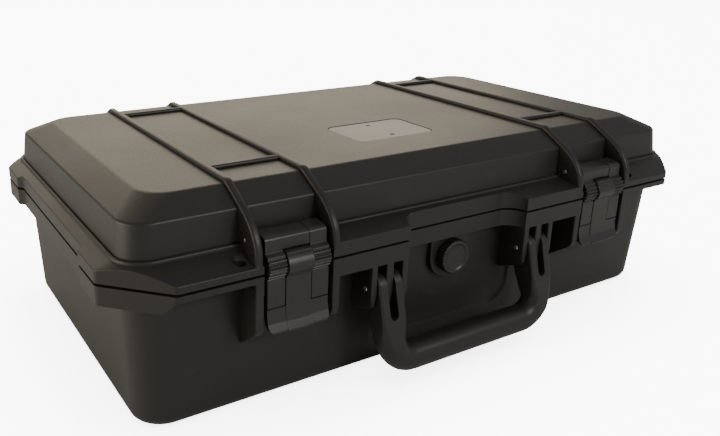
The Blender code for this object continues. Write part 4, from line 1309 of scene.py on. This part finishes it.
# ------------------------------------------------------------------------ base
@dataclass
class BaseShell:
    """The base tub with its rim, fins, brackets and vent boss."""

    half: Point = (226.2, 120.7)
    draft: float = 3.9 / 86.0
    corner: float = 20.6
    bottom_radius: float = 8.0
    wall: float = 3.4
    boss_radius: float = 17.3
    boss_proud: float = 2.1
    vent_z: float = 71.0
    recess_half: float = 61.5
    recess_bottom: float = 22.0
    recess_depth: float = 1.5
    ear_tip: float = 57.0
    thin_rim: float = 94.0
    bays: Bays = field(default_factory=Bays)
    knuckles: HingeKnuckles = field(default_factory=HingeKnuckles)

    def half_at(self, z: float) -> Point:
        """Outer half length and half depth of the walls at a height."""
        return self.half[0] + self.draft * z, self.half[1] + self.draft * z

    def tub(self, inset: float, floor: float, top: float, radius: float, name: str) -> Piece:
        """A drafted tub, or the room inside one.

        Args:
            inset: distance in from the outer walls.
            floor: height of its flat bottom.
            top: height of its upper end.
            radius: rounding round its bottom.
            name: name of the piece.

        Returns:
            The solid.
        """
        levels = []
        turns = 7
        for step in range(turns):
            angle = math.radians(90.0 * step / (turns - 1))
            z = floor + radius * (1.0 - math.cos(angle))
            pull = radius * (1.0 - math.sin(angle))
            half_x, half_y = self.half_at(z)
            corner = max(self.corner - inset - 0.5 * pull, 2.0)
            levels.append((half_x - inset - pull, half_y - inset - pull, corner, z))
        half_x, half_y = self.half_at(top)
        levels.append((half_x - inset, half_y - inset, self.corner - inset, top))
        return loft(name, levels)

    def thin_cuts(self) -> list[Piece]:
        """The stretches of rim that are thinner, under the padlock holes.

        Returns:
            One cutter for each side, and one that goes on round the right corner.
        """
        low, high = RIBS.outer + RIBS.width / 2, RIM.ear_side - RIM.corner_cut[0]
        slope = (self.thin_rim - RIM.base_bottom) * 0.8
        wall_y = self.half_at(RIM.base_bottom)[1] + 0.3
        made = []
        for side in Side:
            profile = [
                (low, RIM.base_bottom - 3.0), (high + slope + 3.0, RIM.base_bottom - 3.0),
                (high + slope, RIM.base_bottom), (high, self.thin_rim), (low, self.thin_rim),
            ]
            outline = [(side.value * x, z) for x, z in profile]
            made.append(prism(f"thin_{side.word}", outline, Along.Y, -RIM.front - 5.0, -wall_y))
        corner_y = -RIM.front + RIM.corner_cut[1]
        profile = [
            (-RIM.front - 5.0, RIM.base_bottom - 3.0), (corner_y + slope, RIM.base_bottom - 3.0),
            (corner_y, self.thin_rim), (-RIM.front - 5.0, self.thin_rim),
        ]
        made.append(prism("thin_corner", profile, Along.X, high - 1.0, RIM.ear_side + 5.0))
        return made

    def rim(self, opening: Piece) -> Piece:
        """The base's rim with rounded edges.

        Args:
            opening: the cutter of the finger bay, which is kept.

        Returns:
            The rim, still solid in the middle.
        """
        made = prism("base_rim", RIM.outline(), Along.Z, RIM.base_bottom, RIM.base_top)
        change_with(made, Change.CUT, self.thin_cuts())
        change_with(made, Change.CUT, [opening], keep=True)
        merged(made)
        return round_edges(made, 0.8, 3, 35.0)

    def fins(self, middle: float, index: int) -> list[Piece]:
        """The fins below one rib, at the front and at the rear.

        Args:
            middle: their place along X.
            index: number used in their names.

        Returns:
            The two fins.
        """
        top = RIM.base_top
        wall = self.half_at(top)[1] - self.wall / 2
        foot = self.half_at(45.0)[1] - self.wall / 2
        front = swept(
            [(-RIM.front, top), (-RIM.front, 61.6), (-foot - 1.4, 46.0), (-foot, 45.0), (-wall, top)],
            [0.0, 8.0, 4.0, 0.0, 0.0],
        )
        rear = swept(
            [(RIM.rear, top), (RIM.rear, 70.6), (foot, 58.0), (wall, top)],
            [0.0, 6.0, 0.0, 0.0],
        )
        half = RIBS.width / 2
        return [
            round_edges(prism(f"{name}_{index}", outline, Along.X, *about(middle, half)), 1.6, 4, 60.0)
            for name, outline in (("front_fin", front), ("rear_fin", rear))
        ]

    def ears(self) -> list[Piece]:
        """The tapered ears that hold the handle's forks.

        Returns:
            Three ears for each fork.
        """
        wall_y = -(self.half[1] + self.draft * 60.0) + self.wall / 2
        top, neck = RIM.base_bottom + 3.0, HANDLE[1] - 5.0
        made = []
        for side in Side:
            for index, (middle, width) in enumerate(ForkLayout().ears()):
                rings = []
                for y, drop in ((-RIM.front, -2.5), (-RIM.front + 1.8, 0.0), (wall_y, 9.0)):
                    right = [(width / 2, top), (width / 2, neck - drop), (width / 4, self.ear_tip - drop)]
                    outline = mirrored(right)
                    rings.append([Vector((side.value * middle + x, y, z)) for x, z in outline])
                made.append(round_edges(stack(f"ear_{side.word}_{index}", rings), 0.6, 2, 25.0))
        return made

    def boss(self) -> Piece:
        """The flat boss that the vent is screwed into.

        Returns:
            The boss.
        """
        outline = arc((0.0, self.vent_z), self.boss_radius, 180.0, 360.0, 28)
        outline += [(self.boss_radius, RIM.base_bottom + 2.0), (-self.boss_radius, RIM.base_bottom + 2.0)]
        wall = self.half_at(self.vent_z)[1]
        made = prism("vent_boss", outline, Along.Y, -wall - self.boss_proud, -wall + self.wall / 2)
        return round_edges(made, 0.7, 3, 60.0)

    def hand_recess(self) -> Piece:
        """The shallow pocket in the wall behind the grip.

        Returns:
            The cutter, wider at its mouth.
        """
        top, radius = RIM.base_bottom + 2.0, 16.0
        rings = []
        depth = self.recess_depth
        for extra, sink in ((12.0, 8.0), (3.4, 0.02), (1.8, -depth * 0.35), (0.0, -depth)):
            half, low = self.recess_half + extra, self.recess_bottom - extra
            right = arc((half - radius, low + radius), radius, -90.0, 0.0, 10) + [(half, top)]
            rings.append([Vector((x, -self.half_at(z)[1] - sink, z)) for x, z in mirrored(right)])
        return stack("hand_recess", rings)

    def build(self) -> Piece:
        """Model and dress the base.

        Returns:
            The finished shell.
        """
        shell = self.tub(0.0, 0.0, RIM.base_top, self.bottom_radius, "base_shell")
        change_with(shell, Change.CUT, [self.hand_recess()])
        opening = self.bays.opening()
        joins = [self.rim(opening)]
        for index, middle in enumerate(RIBS.middles()):
            joins += self.fins(middle, index)
        change_with(shell, Change.JOIN, joins)
        discard([opening])
        change_with(shell, Change.CUT, self.bays.latch_bays())
        details = [self.boss()] + self.ears() + self.knuckles.base_lugs()
        for side in Side:
            middle = side.value * RIBS.latch_middle
            catch = block(f"catch_{side.word}", (middle - 8.0, -133.5, 84.0), (middle + 8.0, -128.0, 88.0))
            details.append(round_edges(catch, 0.6, 2))
        change_with(shell, Change.JOIN, details)
        cuts = [self.tub(self.wall, self.wall, RIM.base_top + 6.0, 5.0, "base_cavity")]
        cuts += self.bays.padlock_holes(RIM.base_top, self.thin_rim)
        cuts += self.bays.bores(HINGE, self.knuckles.pin_radius, self.knuckles.spans(), "hinge_bore")
        forks = ForkLayout().ears()
        reach = (forks[0][0] - 10.0, forks[2][0] + 10.0)
        spans = [(side.value * reach[0], side.value * reach[1]) for side in Side]
        cuts += self.bays.bores(HANDLE, 2.0, spans, "handle_bore")
        cuts.append(prism("vent_bore", circle((0.0, self.vent_z), 6.3, 32), Along.Y, -RIM.front, -100.0))
        change_with(shell, Change.CUT, cuts)
        merged(shell)
        even_shading(shell)
        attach(shell, "base")
        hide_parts("case_base")
        return SHELL.dress(shell)


# ---------------------------------------------------------------------- handle
@dataclass(frozen=True)
class ForkLayout:
    """How the handle's forks sit between the bracket ears."""

    outer: float = 76.6
    inner: float = 57.6
    play: float = 0.45
    outer_ear: float = 4.4
    slot: float = 6.4

    def ears(self) -> list[Point]:
        """Middle and width of the three ears of one fork."""
        step = self.play + self.outer_ear / 2
        return [
            (self.inner - step, self.outer_ear),
            ((self.outer + self.inner) / 2, self.slot - 2 * self.play),
            (self.outer + step, self.outer_ear),
        ]


@dataclass
class CarryHandle:
    """The folding handle: a swept bar with a fork at the end of each arm."""

    fork: ForkLayout = field(default_factory=ForkLayout)
    bottom: float = 9.0
    grip_height: float = 19.0
    front: float = 158.0
    depth: float = 18.0
    sweep: float = 17.0
    fork_radius: float = 9.6
    slot_bottom: float = 49.3
    arm_edge: float = 1.7
    grip_edge: float = 8.0

    def reach(self, z: float) -> Point:
        """How far the bar reaches forward and back at a height.

        Args:
            z: the height.

        Returns:
            Its front and its back along Y.
        """
        pivot_y, pivot_z = HANDLE
        crown = self.bottom + self.grip_height
        share = min(max((z - crown) / (pivot_z - crown), 0.0), 1.0)
        front = -self.front + share * (pivot_y - self.fork_radius + self.front)
        back = self.depth - self.front + share * (pivot_y + self.fork_radius + self.front - self.depth)
        return front, back

    def section(self, centre: Point, turn: float, front: float, back: float, edge: float) -> list[Vector]:
        """One section of the bar, square to its run.

        Args:
            centre: (x, z) of its middle.
            turn: how far the bar has turned from upright, in radians.
            front: its front along Y.
            back: its back along Y.
            edge: radius of its corners.

        Returns:
            The points of the section.
        """
        half_y = (back - front) / 2
        half = self.grip_height / 2
        outline = rounded_rectangle(half, half_y, min(edge, half_y * 0.92), steps=6)
        across = (math.cos(turn), math.sin(turn))
        middle_y = (front + back) / 2
        return [
            Vector((centre[0] + a * across[0], middle_y + b, centre[1] + a * across[1]))
            for a, b in outline
        ]

    def left_half(self) -> list[list[Vector]]:
        """Sections from the top of the left fork to the middle of the grip."""
        pivot_y, pivot_z = HANDLE
        half = self.grip_height / 2
        arm_x = -(self.fork.outer + self.fork.inner) / 2
        rings = []
        for step in range(9):
            angle = math.radians(82.0 * (1.0 - step / 8))
            reach = self.fork_radius * math.cos(angle)
            place = (arm_x, pivot_z + self.fork_radius * math.sin(angle))
            rings.append(self.section(place, 0.0, pivot_y - reach, pivot_y + reach, self.arm_edge))
        level = self.bottom + half + self.sweep
        for z in (62.0, 55.0, 50.0, 46.0, 42.0, 38.0):
            rings.append(self.section((arm_x, z), 0.0, *self.reach(z), self.edge_at(z)))
        for step in range(11):
            angle = math.radians(9.0 * step)
            x = arm_x + self.sweep * (1.0 - math.cos(angle))
            z = level - self.sweep * math.sin(angle)
            rings.append(self.section((x, z), angle, *self.reach(z), self.edge_at(z)))
        for x in (-40.0, -20.0, 0.0):
            rings.append(self.section((x, self.bottom + half), math.pi / 2, *self.reach(0.0), self.grip_edge))
        return rings

    def edge_at(self, z: float) -> float:
        """Radius of the bar's corners at a height: crisp arms, a round grip."""
        share = min(max((52.0 - z) / 26.0, 0.0), 1.0)
        share = share * share * (3.0 - 2.0 * share)
        return self.arm_edge + share * (self.grip_edge - self.arm_edge)

    def build(self) -> Piece:
        """Model and dress the handle.

        Returns:
            The finished handle.
        """
        left = self.left_half()
        right = [[Vector((-point.x, point.y, point.z)) for point in ring] for ring in reversed(left[:-1])]
        made = stack("carry_handle", left + right)
        cuts = []
        for side in Side:
            middle = side.value * self.fork.ears()[1][0]
            half_slot = self.fork.slot / 2
            outline = arc((middle, self.slot_bottom + half_slot), half_slot, 180.0, 360.0, 14)
            outline += [(middle + half_slot, 95.0), (middle - half_slot, 95.0)]
            cuts.append(prism(f"slot_{side.word}", outline, Along.Y, -170.0, -120.0))
        change_with(made, Change.CUT, cuts)
        merged(made)
        round_edges(made, 0.8, 2, 55.0)
        reach = (self.fork.inner - 6.0, self.fork.outer + 6.0)
        spans = [(side.value * reach[0], side.value * reach[1]) for side in Side]
        change_with(made, Change.CUT, Bays().bores(HANDLE, 2.0, spans, "handle_pin_bore"))
        merged(made)
        even_shading(made)
        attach(made, "handle")
        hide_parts("handle")
        return GRIP.dress(made)


# --------------------------------------------------------------------- latches
@dataclass
class DrawLatch:
    """A front latch: a winged link on the lid and a lever hung in it."""

    side: Side
    width: float = 42.0
    tongue: float = 17.3
    play: float = 0.45
    link_boss: float = 4.5
    link_bottom: float = 75.9
    plate_bottom: float = 110.2
    barrel: float = 6.6
    lip_top: float = 75.2
    lip_bottom: float = 59.6
    grooves: int = 5
    hook: float = 134.0

    @property
    def middle(self) -> float:
        """Where the latch sits along X."""
        return self.side.value * RIBS.latch_middle

    def crown(self, sunk: float = 0.0) -> list[Point]:
        """The top of the link round its pin, back to front.

        Args:
            sunk: how far the surface lies below the wings' own.

        Returns:
            Its (y, z) points.
        """
        back = arc(LINK, self.link_boss - sunk, -60.0, 80.0, 14)
        return back + arc((-137.3, 116.0), 3.0 - sunk, 88.0, 178.0, 6)

    def wing_view(self) -> list[Point]:
        """Side view of a wing with its finger grooves.

        Returns:
            Its outline in (y, z).
        """
        points = self.crown() + [(-140.4, 109.4)]
        top, bottom = 108.6, 94.4
        parts = ((0.08, 0.5), (0.2, 0.0), (0.52, 0.0), (0.64, 0.5), (0.74, 1.0), (0.94, 1.0))
        for groove in range(self.grooves + 1):
            for part, sink in parts:
                share = (groove + part) / (self.grooves + 1)
                swell = 2.2 * share + 4.4 * math.sin(math.pi * min(share * 0.93 + 0.07, 1.0)) ** 0.8
                points.append((-141.2 - swell + sink, top + (bottom - top) * share))
        points += [(-143.4, 93.6), (-143.4, self.link_bottom), (-138.6, self.link_bottom), (-138.6, 94.0)]
        points += [(-136.8, 97.0), (-136.0, 101.5), (-134.6, 107.0), (-131.0, 110.4)]
        return points

    def lip_view(self, sunk: float = 0.0) -> list[Point]:
        """The flared finger lip, from its top front round to its top back.

        Args:
            sunk: how far the surface lies behind the tongue's own.

        Returns:
            Its (y, z) points.
        """
        low = self.lip_bottom
        sharp = [
            (-143.6, 71.0), (-144.6, 66.0), (-147.3, low + 0.9),
            (-145.6, low - 0.1), (-142.4, low + 2.6), (-140.0, 68.0),
        ]
        sharp = [(y + sunk, z + 0.8 * sunk) for y, z in sharp]
        return swept(sharp, [4.0, 4.0, 0.9, 1.5, 3.0, 3.0], 4, closed=False)

    def tongue_view(self) -> list[Point]:
        """Side view of the lever's tongue, barrel and hook.

        Returns:
            Its outline in (y, z).
        """
        y, z = LEVER
        back = y + self.barrel
        points = [(-139.0, z + 8.6), (-143.2, z + 8.6), (-144.2, z + 7.9), (-143.9, z + 7.2)]
        points += [(-145.3, z + 6.4), (-144.9, z + 5.7), (-146.2, z + 4.6)]
        points += arc((y, z), self.barrel, 160.0, 222.0, 10)
        points += [(-144.3, z - 6.6), (-143.6, z - 8.0)] + self.lip_view()
        points += [(-139.4, 76.0), (-139.4, 78.0), (-self.hook - 0.8, 78.0)]
        points += [(-self.hook, 79.0), (-self.hook, 81.6), (-self.hook - 1.6, 82.4)]
        points += [(-139.0, 84.5), (-138.6, z - 7.4)]
        points += [(back - 0.6, z - 2.8), (back, z), (back - 0.9, z + 4.0)]
        return points

    def link(self) -> Piece:
        """Model and dress the link.

        Returns:
            The finished link.
        """
        half, slot = self.width / 2, self.tongue / 2 + self.play
        name = f"latch_link_{self.side.word}"
        middle = self.middle
        wing_spans = ((middle - half, middle - slot), (middle + slot, middle + half))
        wings = [
            round_edges(prism(f"{name}_wing_{i}", self.wing_view(), Along.X, *span), 0.35, 2, 60.0)
            for i, span in enumerate(wing_spans)
        ]
        plate_outline = self.crown(0.45) + [(-139.9, self.plate_bottom), (-131.4, self.plate_bottom)]
        plate = prism(f"{name}_plate", plate_outline, Along.X, *about(middle, slot + 3.0))
        made = wings[0]
        made.name = f"{name}_moulding"
        change_with(made, Change.JOIN, [wings[1], plate])
        spans = [about(middle, 30.0)]
        cuts = Bays().bores(LINK, 1.75, spans, "bore_a") + Bays().bores(LEVER, 1.5, spans, "bore_b")
        change_with(made, Change.CUT, cuts)
        merged(made)
        even_shading(made)
        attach(made, f"link_{self.side.word}")
        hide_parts(name)
        return LATCH.dress(made)

    def lever(self) -> Piece:
        """Model and dress the lever.

        Returns:
            The finished lever.
        """
        name = f"latch_lever_{self.side.word}"
        half, tongue = self.width / 2, self.tongue / 2
        made = prism(f"{name}_moulding", self.tongue_view(), Along.X, *about(self.middle, tongue))
        round_edges(made, 0.35, 2, 60.0)
        outline = [(-143.2, self.lip_top)] + self.lip_view(0.45) + [(-139.0, self.lip_top)]
        lip = prism(f"{name}_lip", outline, Along.X, self.middle - half, self.middle + half)
        corners = []
        for way in (-1, 1):
            x, z = self.middle + way * (half + 1.0), self.lip_bottom - 1.5
            inner = (self.middle + way * (half - 6.0), z + 7.5)
            sweep = arc(inner, 6.0, -90.0, 0.0, 8) if way > 0 else arc(inner, 6.0, 270.0, 180.0, 8)
            sweep += [(x, z + 7.5), (x, z - 1.0), (inner[0], z - 1.0)]
            corners.append(prism(f"{name}_corner_{way}", sweep, Along.Y, -152.0, -132.0))
        change_with(lip, Change.CUT, corners)
        merged(lip)
        round_edges(lip, 0.5, 3, 45.0)
        change_with(made, Change.JOIN, [lip])
        bores = Bays().bores(LEVER, 1.5, [about(self.middle, 30.0)], "bore_c")
        change_with(made, Change.CUT, bores)
        merged(made)
        even_shading(made)
        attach(made, f"lever_{self.side.word}")
        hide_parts(name)
        return LATCH.dress(made)


# ------------------------------------------------------------------------ vent
@dataclass
class VentKnob:
    """The round vent knob: a toothed rim round a dished face."""

    teeth: int = 36
    tooth: float = 0.55
    dish: float = 1.3

    def build(self) -> Piece:
        """Model and dress the knob.

        Returns:
            The finished knob.
        """
        low, high = node_box("valve_knob")
        middle = ((low.x + high.x) / 2, (low.z + high.z) / 2)
        radius = (high.x - low.x) / 2
        back, front = high.y, low.y
        count = self.teeth * 6

        def ring(reach: float, y: float, toothed: float) -> list[Vector]:
            points = []
            for index in range(count):
                angle = 2.0 * math.pi * index / count
                wave = 0.5 - 0.5 * math.cos(angle * self.teeth)
                here = reach - self.tooth * toothed * wave ** 0.6
                across, up = here * math.cos(angle), here * math.sin(angle)
                points.append(Vector((middle[0] + across, y, middle[1] + up)))
            return points

        rings = [
            ring(radius - 1.6, back, 0.0), ring(radius - 0.4, back, 0.8), ring(radius, back - 0.4, 1.0),
            ring(radius, front + 1.2, 1.0), ring(radius - 0.25, front + 0.55, 0.8),
            ring(radius - 0.8, front + 0.12, 0.4), ring(radius - 1.5, front, 0.0),
            ring(radius - 2.5, front, 0.0), ring(radius - 2.9, front + 0.15, 0.0),
            ring(radius - 3.5, front + 0.8, 0.0), ring(radius - 4.3, front + 1.05, 0.0),
            ring(radius * 0.3, front + self.dish, 0.0),
        ]
        made = stack("vent_knob_moulding", rings)
        even_shading(made)
        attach(made, "vent_knob")
        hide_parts("valve_knob")
        return KNOB.dress(made)


# ------------------------------------------------------------------- nameplate
@dataclass
class Nameplate:
    """The blank plate let into the lid, with two small pins."""

    corner: float = 6.0
    pin_radius: float = 1.5

    def build(self) -> Piece:
        """Model and dress the plate.

        Returns:
            The finished plate.
        """
        low, high = node_box("nameplate")
        middle = ((low.x + high.x) / 2, (low.y + high.y) / 2)
        outline = rounded_rectangle((high.x - low.x) / 2, (high.y - low.y) / 2, self.corner, middle)
        made = prism("blank_nameplate", outline, Along.Z, low.z, high.z)
        round_edges(made, 0.2, 2, 60.0)
        holes = []
        for word in ("front", "rear"):
            pin_low, pin_high = node_box(f"nameplate_pin_{word}")
            place = ((pin_low.x + pin_high.x) / 2, (pin_low.y + pin_high.y) / 2)
            outline = circle(place, self.pin_radius + 0.3, 28)
            holes.append(prism(f"plate_hole_{word}", outline, Along.Z, low.z - 2.0, high.z + 2.0))
        change_with(made, Change.CUT, holes)
        merged(made)
        even_shading(made)
        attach(made, "lid")
        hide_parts("nameplate")
        return PLATE.dress(made)


# ------------------------------------------------------------------------ seal
@dataclass
class LidSeal:
    """The rubber seal that sits in the lid's groove."""

    width: float = 3.6
    corner: float = 25.2

    def build(self) -> Piece:
        """Model and dress the seal.

        Returns:
            The finished seal.
        """
        low, high = node_box("lid_seal")
        outer = [(high.x, high.y, self.corner, low.z), (high.x, high.y, self.corner, high.z)]
        made = loft("lid_seal_ring", outer, 12)
        gap = self.width
        hole = [
            (high.x - gap, high.y - gap, self.corner - gap, low.z - 3.0),
            (high.x - gap, high.y - gap, self.corner - gap, high.z + 3.0),
        ]
        change_with(made, Change.CUT, [loft("seal_hole", hole, 12)])
        merged(made)
        round_edges(made, 1.1, 4, 60.0)
        even_shading(made)
        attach(made, "lid")
        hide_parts("lid_seal")
        return SEAL.dress(made)


# ------------------------------------------------------------------------ foam
@dataclass
class FoamLining:
    """The foam: a bottom pad, a block with a pocket and a waved lid slab."""

    pocket_half: Point = (150.0, 80.0)
    pocket_corner: float = 12.0
    pocket_floor: float = 38.0
    pocket_y: float = 5.0
    finger_radius: float = 15.0
    wave: float = 9.0
    wave_pitch: float = 38.0

    def pad(self) -> Piece:
        """The thin pad on the floor of the base.

        Returns:
            The finished pad.
        """
        low, high = node_box("bottom_pad")
        levels = [
            (high.x - 4.0, high.y - 4.0, 12.0, low.z), (high.x - 0.6, high.y - 0.6, 15.0, low.z + 2.5),
            (high.x, high.y, 16.0, high.z - 1.5), (high.x - 1.2, high.y - 1.2, 15.0, high.z),
        ]
        made = loft("floor_pad", levels)
        return self.finish(made, "base", "bottom_pad", 0.9)

    def tray(self) -> Piece:
        """The foam block with a pocket for the instrument.

        Returns:
            The finished block.
        """
        low, high = node_box("base_foam")
        levels = [
            (high.x - 3.8, high.y - 3.8, 15.0, low.z), (high.x - 1.0, high.y - 1.0, 16.4, high.z - 4.0),
            (high.x - 0.4, high.y - 0.4, 16.4, high.z - 1.2), (high.x - 1.6, high.y - 1.6, 15.0, high.z),
        ]
        made = loft("foam_tray", levels)
        mouth = ((0.2, high.z - 3.0), (0.9, high.z - 1.0), (2.2, high.z), (6.0, high.z + 4.0))
        half_x, half_y = self.pocket_half
        rings = []
        for extra, z in ((0.0, self.pocket_floor), *mouth):
            corner = self.pocket_corner + extra
            outline = rounded_rectangle(half_x + extra, half_y + extra, corner, (0.0, self.pocket_y))
            rings.append([Vector((x, y, z)) for x, y in outline])
        cuts = [stack("pocket", rings)]
        for side in Side:
            middle = (side.value * half_x, self.pocket_y)
            cuts.append(stack(f"finger_{side.word}", [
                [Vector((x, y, z)) for x, y in circle(middle, self.finger_radius + extra, 40)]
                for extra, z in ((0.0, self.pocket_floor + 12.0), *mouth)
            ]))
        nut_low, nut_high = node_box("valve_nut")
        reach = (nut_high.z - nut_low.z) / 2 + 3.5
        vent_z = (nut_high.z + nut_low.z) / 2
        body_high = node_box("valve_body")[1]
        notch_low = (-reach, low.y - 5.0, vent_z - reach)
        cuts.append(block("vent_notch", notch_low, (reach, body_high.y + 2.0, high.z + 10.0)))
        change_with(made, Change.CUT, cuts)
        return self.finish(made, "base", "base_foam", 0.9)

    def lid_slab(self) -> Piece:
        """The lid's foam slab, waved on the side that faces the instrument.

        Returns:
            The finished slab.
        """
        low, high = node_box("lid_foam")
        half_x, half_y = (high.x - low.x) / 2, (high.y - low.y) / 2
        bpy.ops.object.select_all(action="DESELECT")
        bpy.ops.mesh.primitive_grid_add(x_subdivisions=120, y_subdivisions=64, size=2.0)
        made = bpy.context.active_object
        made.name = made.data.name = "waved_lid_foam"
        corner = 14.0
        for vertex in made.data.vertices:
            x, y = vertex.co.x * half_x, vertex.co.y * half_y
            turns = (2 * math.pi * place / self.wave_pitch for place in (x, y))
            wave = 0.5 + 0.25 * sum(math.cos(turn) for turn in turns)
            over_x, over_y = abs(x) - (half_x - corner), abs(y) - (half_y - corner)
            if over_x > 0.0 and over_y > 0.0:
                reach = math.hypot(over_x, over_y)
                limit = max(over_x, over_y)
                x = math.copysign(half_x - corner + over_x * limit / reach, x)
                y = math.copysign(half_y - corner + over_y * limit / reach, y)
            vertex.co = Vector((x, y, low.z + 0.5 + self.wave * wave)) * MM
        pick(made)
        bpy.ops.object.mode_set(mode="EDIT")
        bpy.ops.mesh.select_all(action="SELECT")
        bpy.ops.mesh.extrude_region_move(TRANSFORM_OT_translate={"value": (0.0, 0.0, 0.0)})
        mesh = bmesh.from_edit_mesh(made.data)
        for vertex in [v for v in mesh.verts if v.select]:
            vertex.co.z = (high.z - 11.0) * MM
        bmesh.update_edit_mesh(made.data)
        bpy.ops.mesh.extrude_region_move(TRANSFORM_OT_translate={"value": (0.0, 0.0, 0.0)})
        mesh = bmesh.from_edit_mesh(made.data)
        for vertex in [v for v in mesh.verts if v.select]:
            vertex.co.x *= (half_x - 17.0) / half_x
            vertex.co.y *= (half_y - 17.0) / half_y
            vertex.co.z = (high.z - 0.6) * MM
        bmesh.update_edit_mesh(made.data)
        bpy.ops.mesh.select_all(action="SELECT")
        bpy.ops.mesh.normals_make_consistent(inside=False)
        bpy.ops.object.mode_set(mode="OBJECT")
        return self.finish(made, "lid", "lid_foam", 0.8)

    def finish(self, made: Piece, body: str, node: str, fill: float) -> Piece:
        """Args:
            made: the piece.
            body: the body it moves with.
            node: the plain solid it stands for.
            fill: how firm it is; not used.

        Returns:
            The same piece.
        """
        even_shading(made)
        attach(made, body)
        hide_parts(node)
        FOAM.dress(made)
        return made


# ------------------------------------------------------------- carried-over pieces
@dataclass(frozen=True)
class SmallFittings:
    """The frame's own pins, washers and nut, which only need their finish."""

    finishes: tuple[tuple[str, Finish], ...] = (
        ("hinge_pin_left", PIN), ("hinge_pin_right", PIN), ("handle_pin_left", PIN),
        ("handle_pin_right", PIN), ("latch_pin_left", PIN), ("latch_pin_right", PIN),
        ("lever_pin_left", PIN), ("lever_pin_right", PIN), ("nameplate_pin_front", DARK_PIN),
        ("nameplate_pin_rear", DARK_PIN), ("valve_body", FITTING), ("valve_nut", FITTING),
        ("valve_seal", SEAL), ("valve_gasket", SEAL),
    )

    def build(self) -> None:
        """Dress each of them."""
        for node, finish in self.finishes:
            finish.dress(frame["nodes"][node])


# ----------------------------------------------------------------------- studio
@dataclass
class Studio:
    """The floor, the lights and the camera."""

    eye: tuple[float, float, float] = (-0.34798, -0.48347, 0.28230)
    azimuth: float = 31.085
    elevation: float = 17.952
    roll: float = 0.719
    lens: float = 37.78
    shift: Point = (0.1002, -0.0550)
    room_light: float = 0.38
    backdrop_light: float = 9.8
    floor_size: float = 60.0

    def camera(self) -> None:
        """Place the camera."""
        data = bpy.data.cameras.new("studio_camera")
        data.lens = self.lens
        data.sensor_width = 36.0
        data.shift_x, data.shift_y = self.shift
        data.clip_start = 0.01
        turn, tilt, roll = (math.radians(v) for v in (self.azimuth, self.elevation, self.roll))
        look = Vector((math.sin(turn) * math.cos(tilt), math.cos(turn) * math.cos(tilt), -math.sin(tilt)))
        right = Vector((math.cos(turn), -math.sin(turn), 0.0))
        up = right.cross(look)
        across = right * math.cos(roll) + up * math.sin(roll)
        upright = up * math.cos(roll) - right * math.sin(roll)
        place = Matrix((across, upright, -look)).transposed().to_4x4()
        place.translation = Vector(self.eye)
        camera = bpy.data.objects.new("studio_camera", data)
        bpy.context.scene.collection.objects.link(camera)
        camera.matrix_world = place
        bpy.context.scene.camera = camera

    def floor(self) -> None:
        """Lay the floor."""
        bpy.ops.object.select_all(action="DESELECT")
        bpy.ops.mesh.primitive_grid_add(x_subdivisions=8, y_subdivisions=8, size=self.floor_size)
        made = bpy.context.active_object
        made.name = "studio_floor"
        made.data.materials.append(FLOOR.material())

    def light(
        self,
        name: str,
        place: Sequence[float],
        target: Sequence[float],
        size: Point,
        power: float,
        colour: Colour,
    ) -> None:
        """Hang one soft light.

        Args:
            name: its name.
            place: where it hangs, in metres.
            target: what it points at, in metres.
            size: its width and height, in metres.
            power: its power, in watts.
            colour: its colour.
        """
        data = bpy.data.lights.new(name, "AREA")
        data.shape = "RECTANGLE"
        data.size, data.size_y = size
        data.energy = power
        data.color = colour
        made = bpy.data.objects.new(name, data)
        bpy.context.scene.collection.objects.link(made)
        made.location = place
        aim = Vector(target) - Vector(place)
        made.rotation_euler = aim.to_track_quat("-Z", "Y").to_euler()

    def surroundings(self) -> None:
        """Make the room dim for the case and white for the camera."""
        world = bpy.data.worlds.new("studio_world")
        world.use_nodes = True
        tree = world.node_tree
        room = tree.nodes["Background"]
        room.inputs["Color"].default_value = (1.0, 0.985, 0.96, 1.0)
        path = tree.nodes.new("ShaderNodeLightPath")
        extra = self.backdrop_light - self.room_light
        strength = math_node(tree, "MULTIPLY", path.outputs["Is Camera Ray"], extra)
        tree.links.new(math_node(tree, "ADD", strength, self.room_light), room.inputs["Strength"])
        bpy.context.scene.world = world

    def build(self) -> None:
        """Set up the whole studio."""
        self.camera()
        self.floor()
        self.surroundings()
        self.light("window", (0.75, 2.2, 1.2), (0.0, 0.0, 0.1), (3.0, 1.5), 34.0, (1.0, 0.87, 0.66))
        self.light("side_window", (-2.0, 0.4, 0.42), (0.0, 0.0, 0.07), (1.6, 0.8), 29.0, (1.0, 0.92, 0.74))
        self.light("edge_light", (0.55, -1.9, 1.25), (0.0, 0.0, 0.1), (0.5, 0.25), 21.0, (1.0, 0.99, 0.97))


def main() -> None:
    """Build the case piece by piece, then the studio."""
    logging.basicConfig(level=logging.INFO, format="%(name)s: %(message)s")
    Studio().build()
    builders: list[tuple[str, Callable[[], object]]] = [
        ("base shell", BaseShell().build),
        ("lid shell", LidShell().build),
        ("handle", CarryHandle().build),
        ("vent knob", VentKnob().build),
        ("nameplate", Nameplate().build),
        ("seal", LidSeal().build),
        ("small fittings", SmallFittings().build),
    ]
    for side in Side:
        latch = DrawLatch(side)
        builders += [(f"latch link {side.word}", latch.link), (f"latch lever {side.word}", latch.lever)]
    lining = FoamLining()
    builders += [("floor pad", lining.pad), ("foam tray", lining.tray), ("lid foam", lining.lid_slab)]
    for name, build in builders:
        build()
        LOG.info("built the %s", name)
    bpy.context.view_layer.update()


if __name__ == "__main__":
    main()
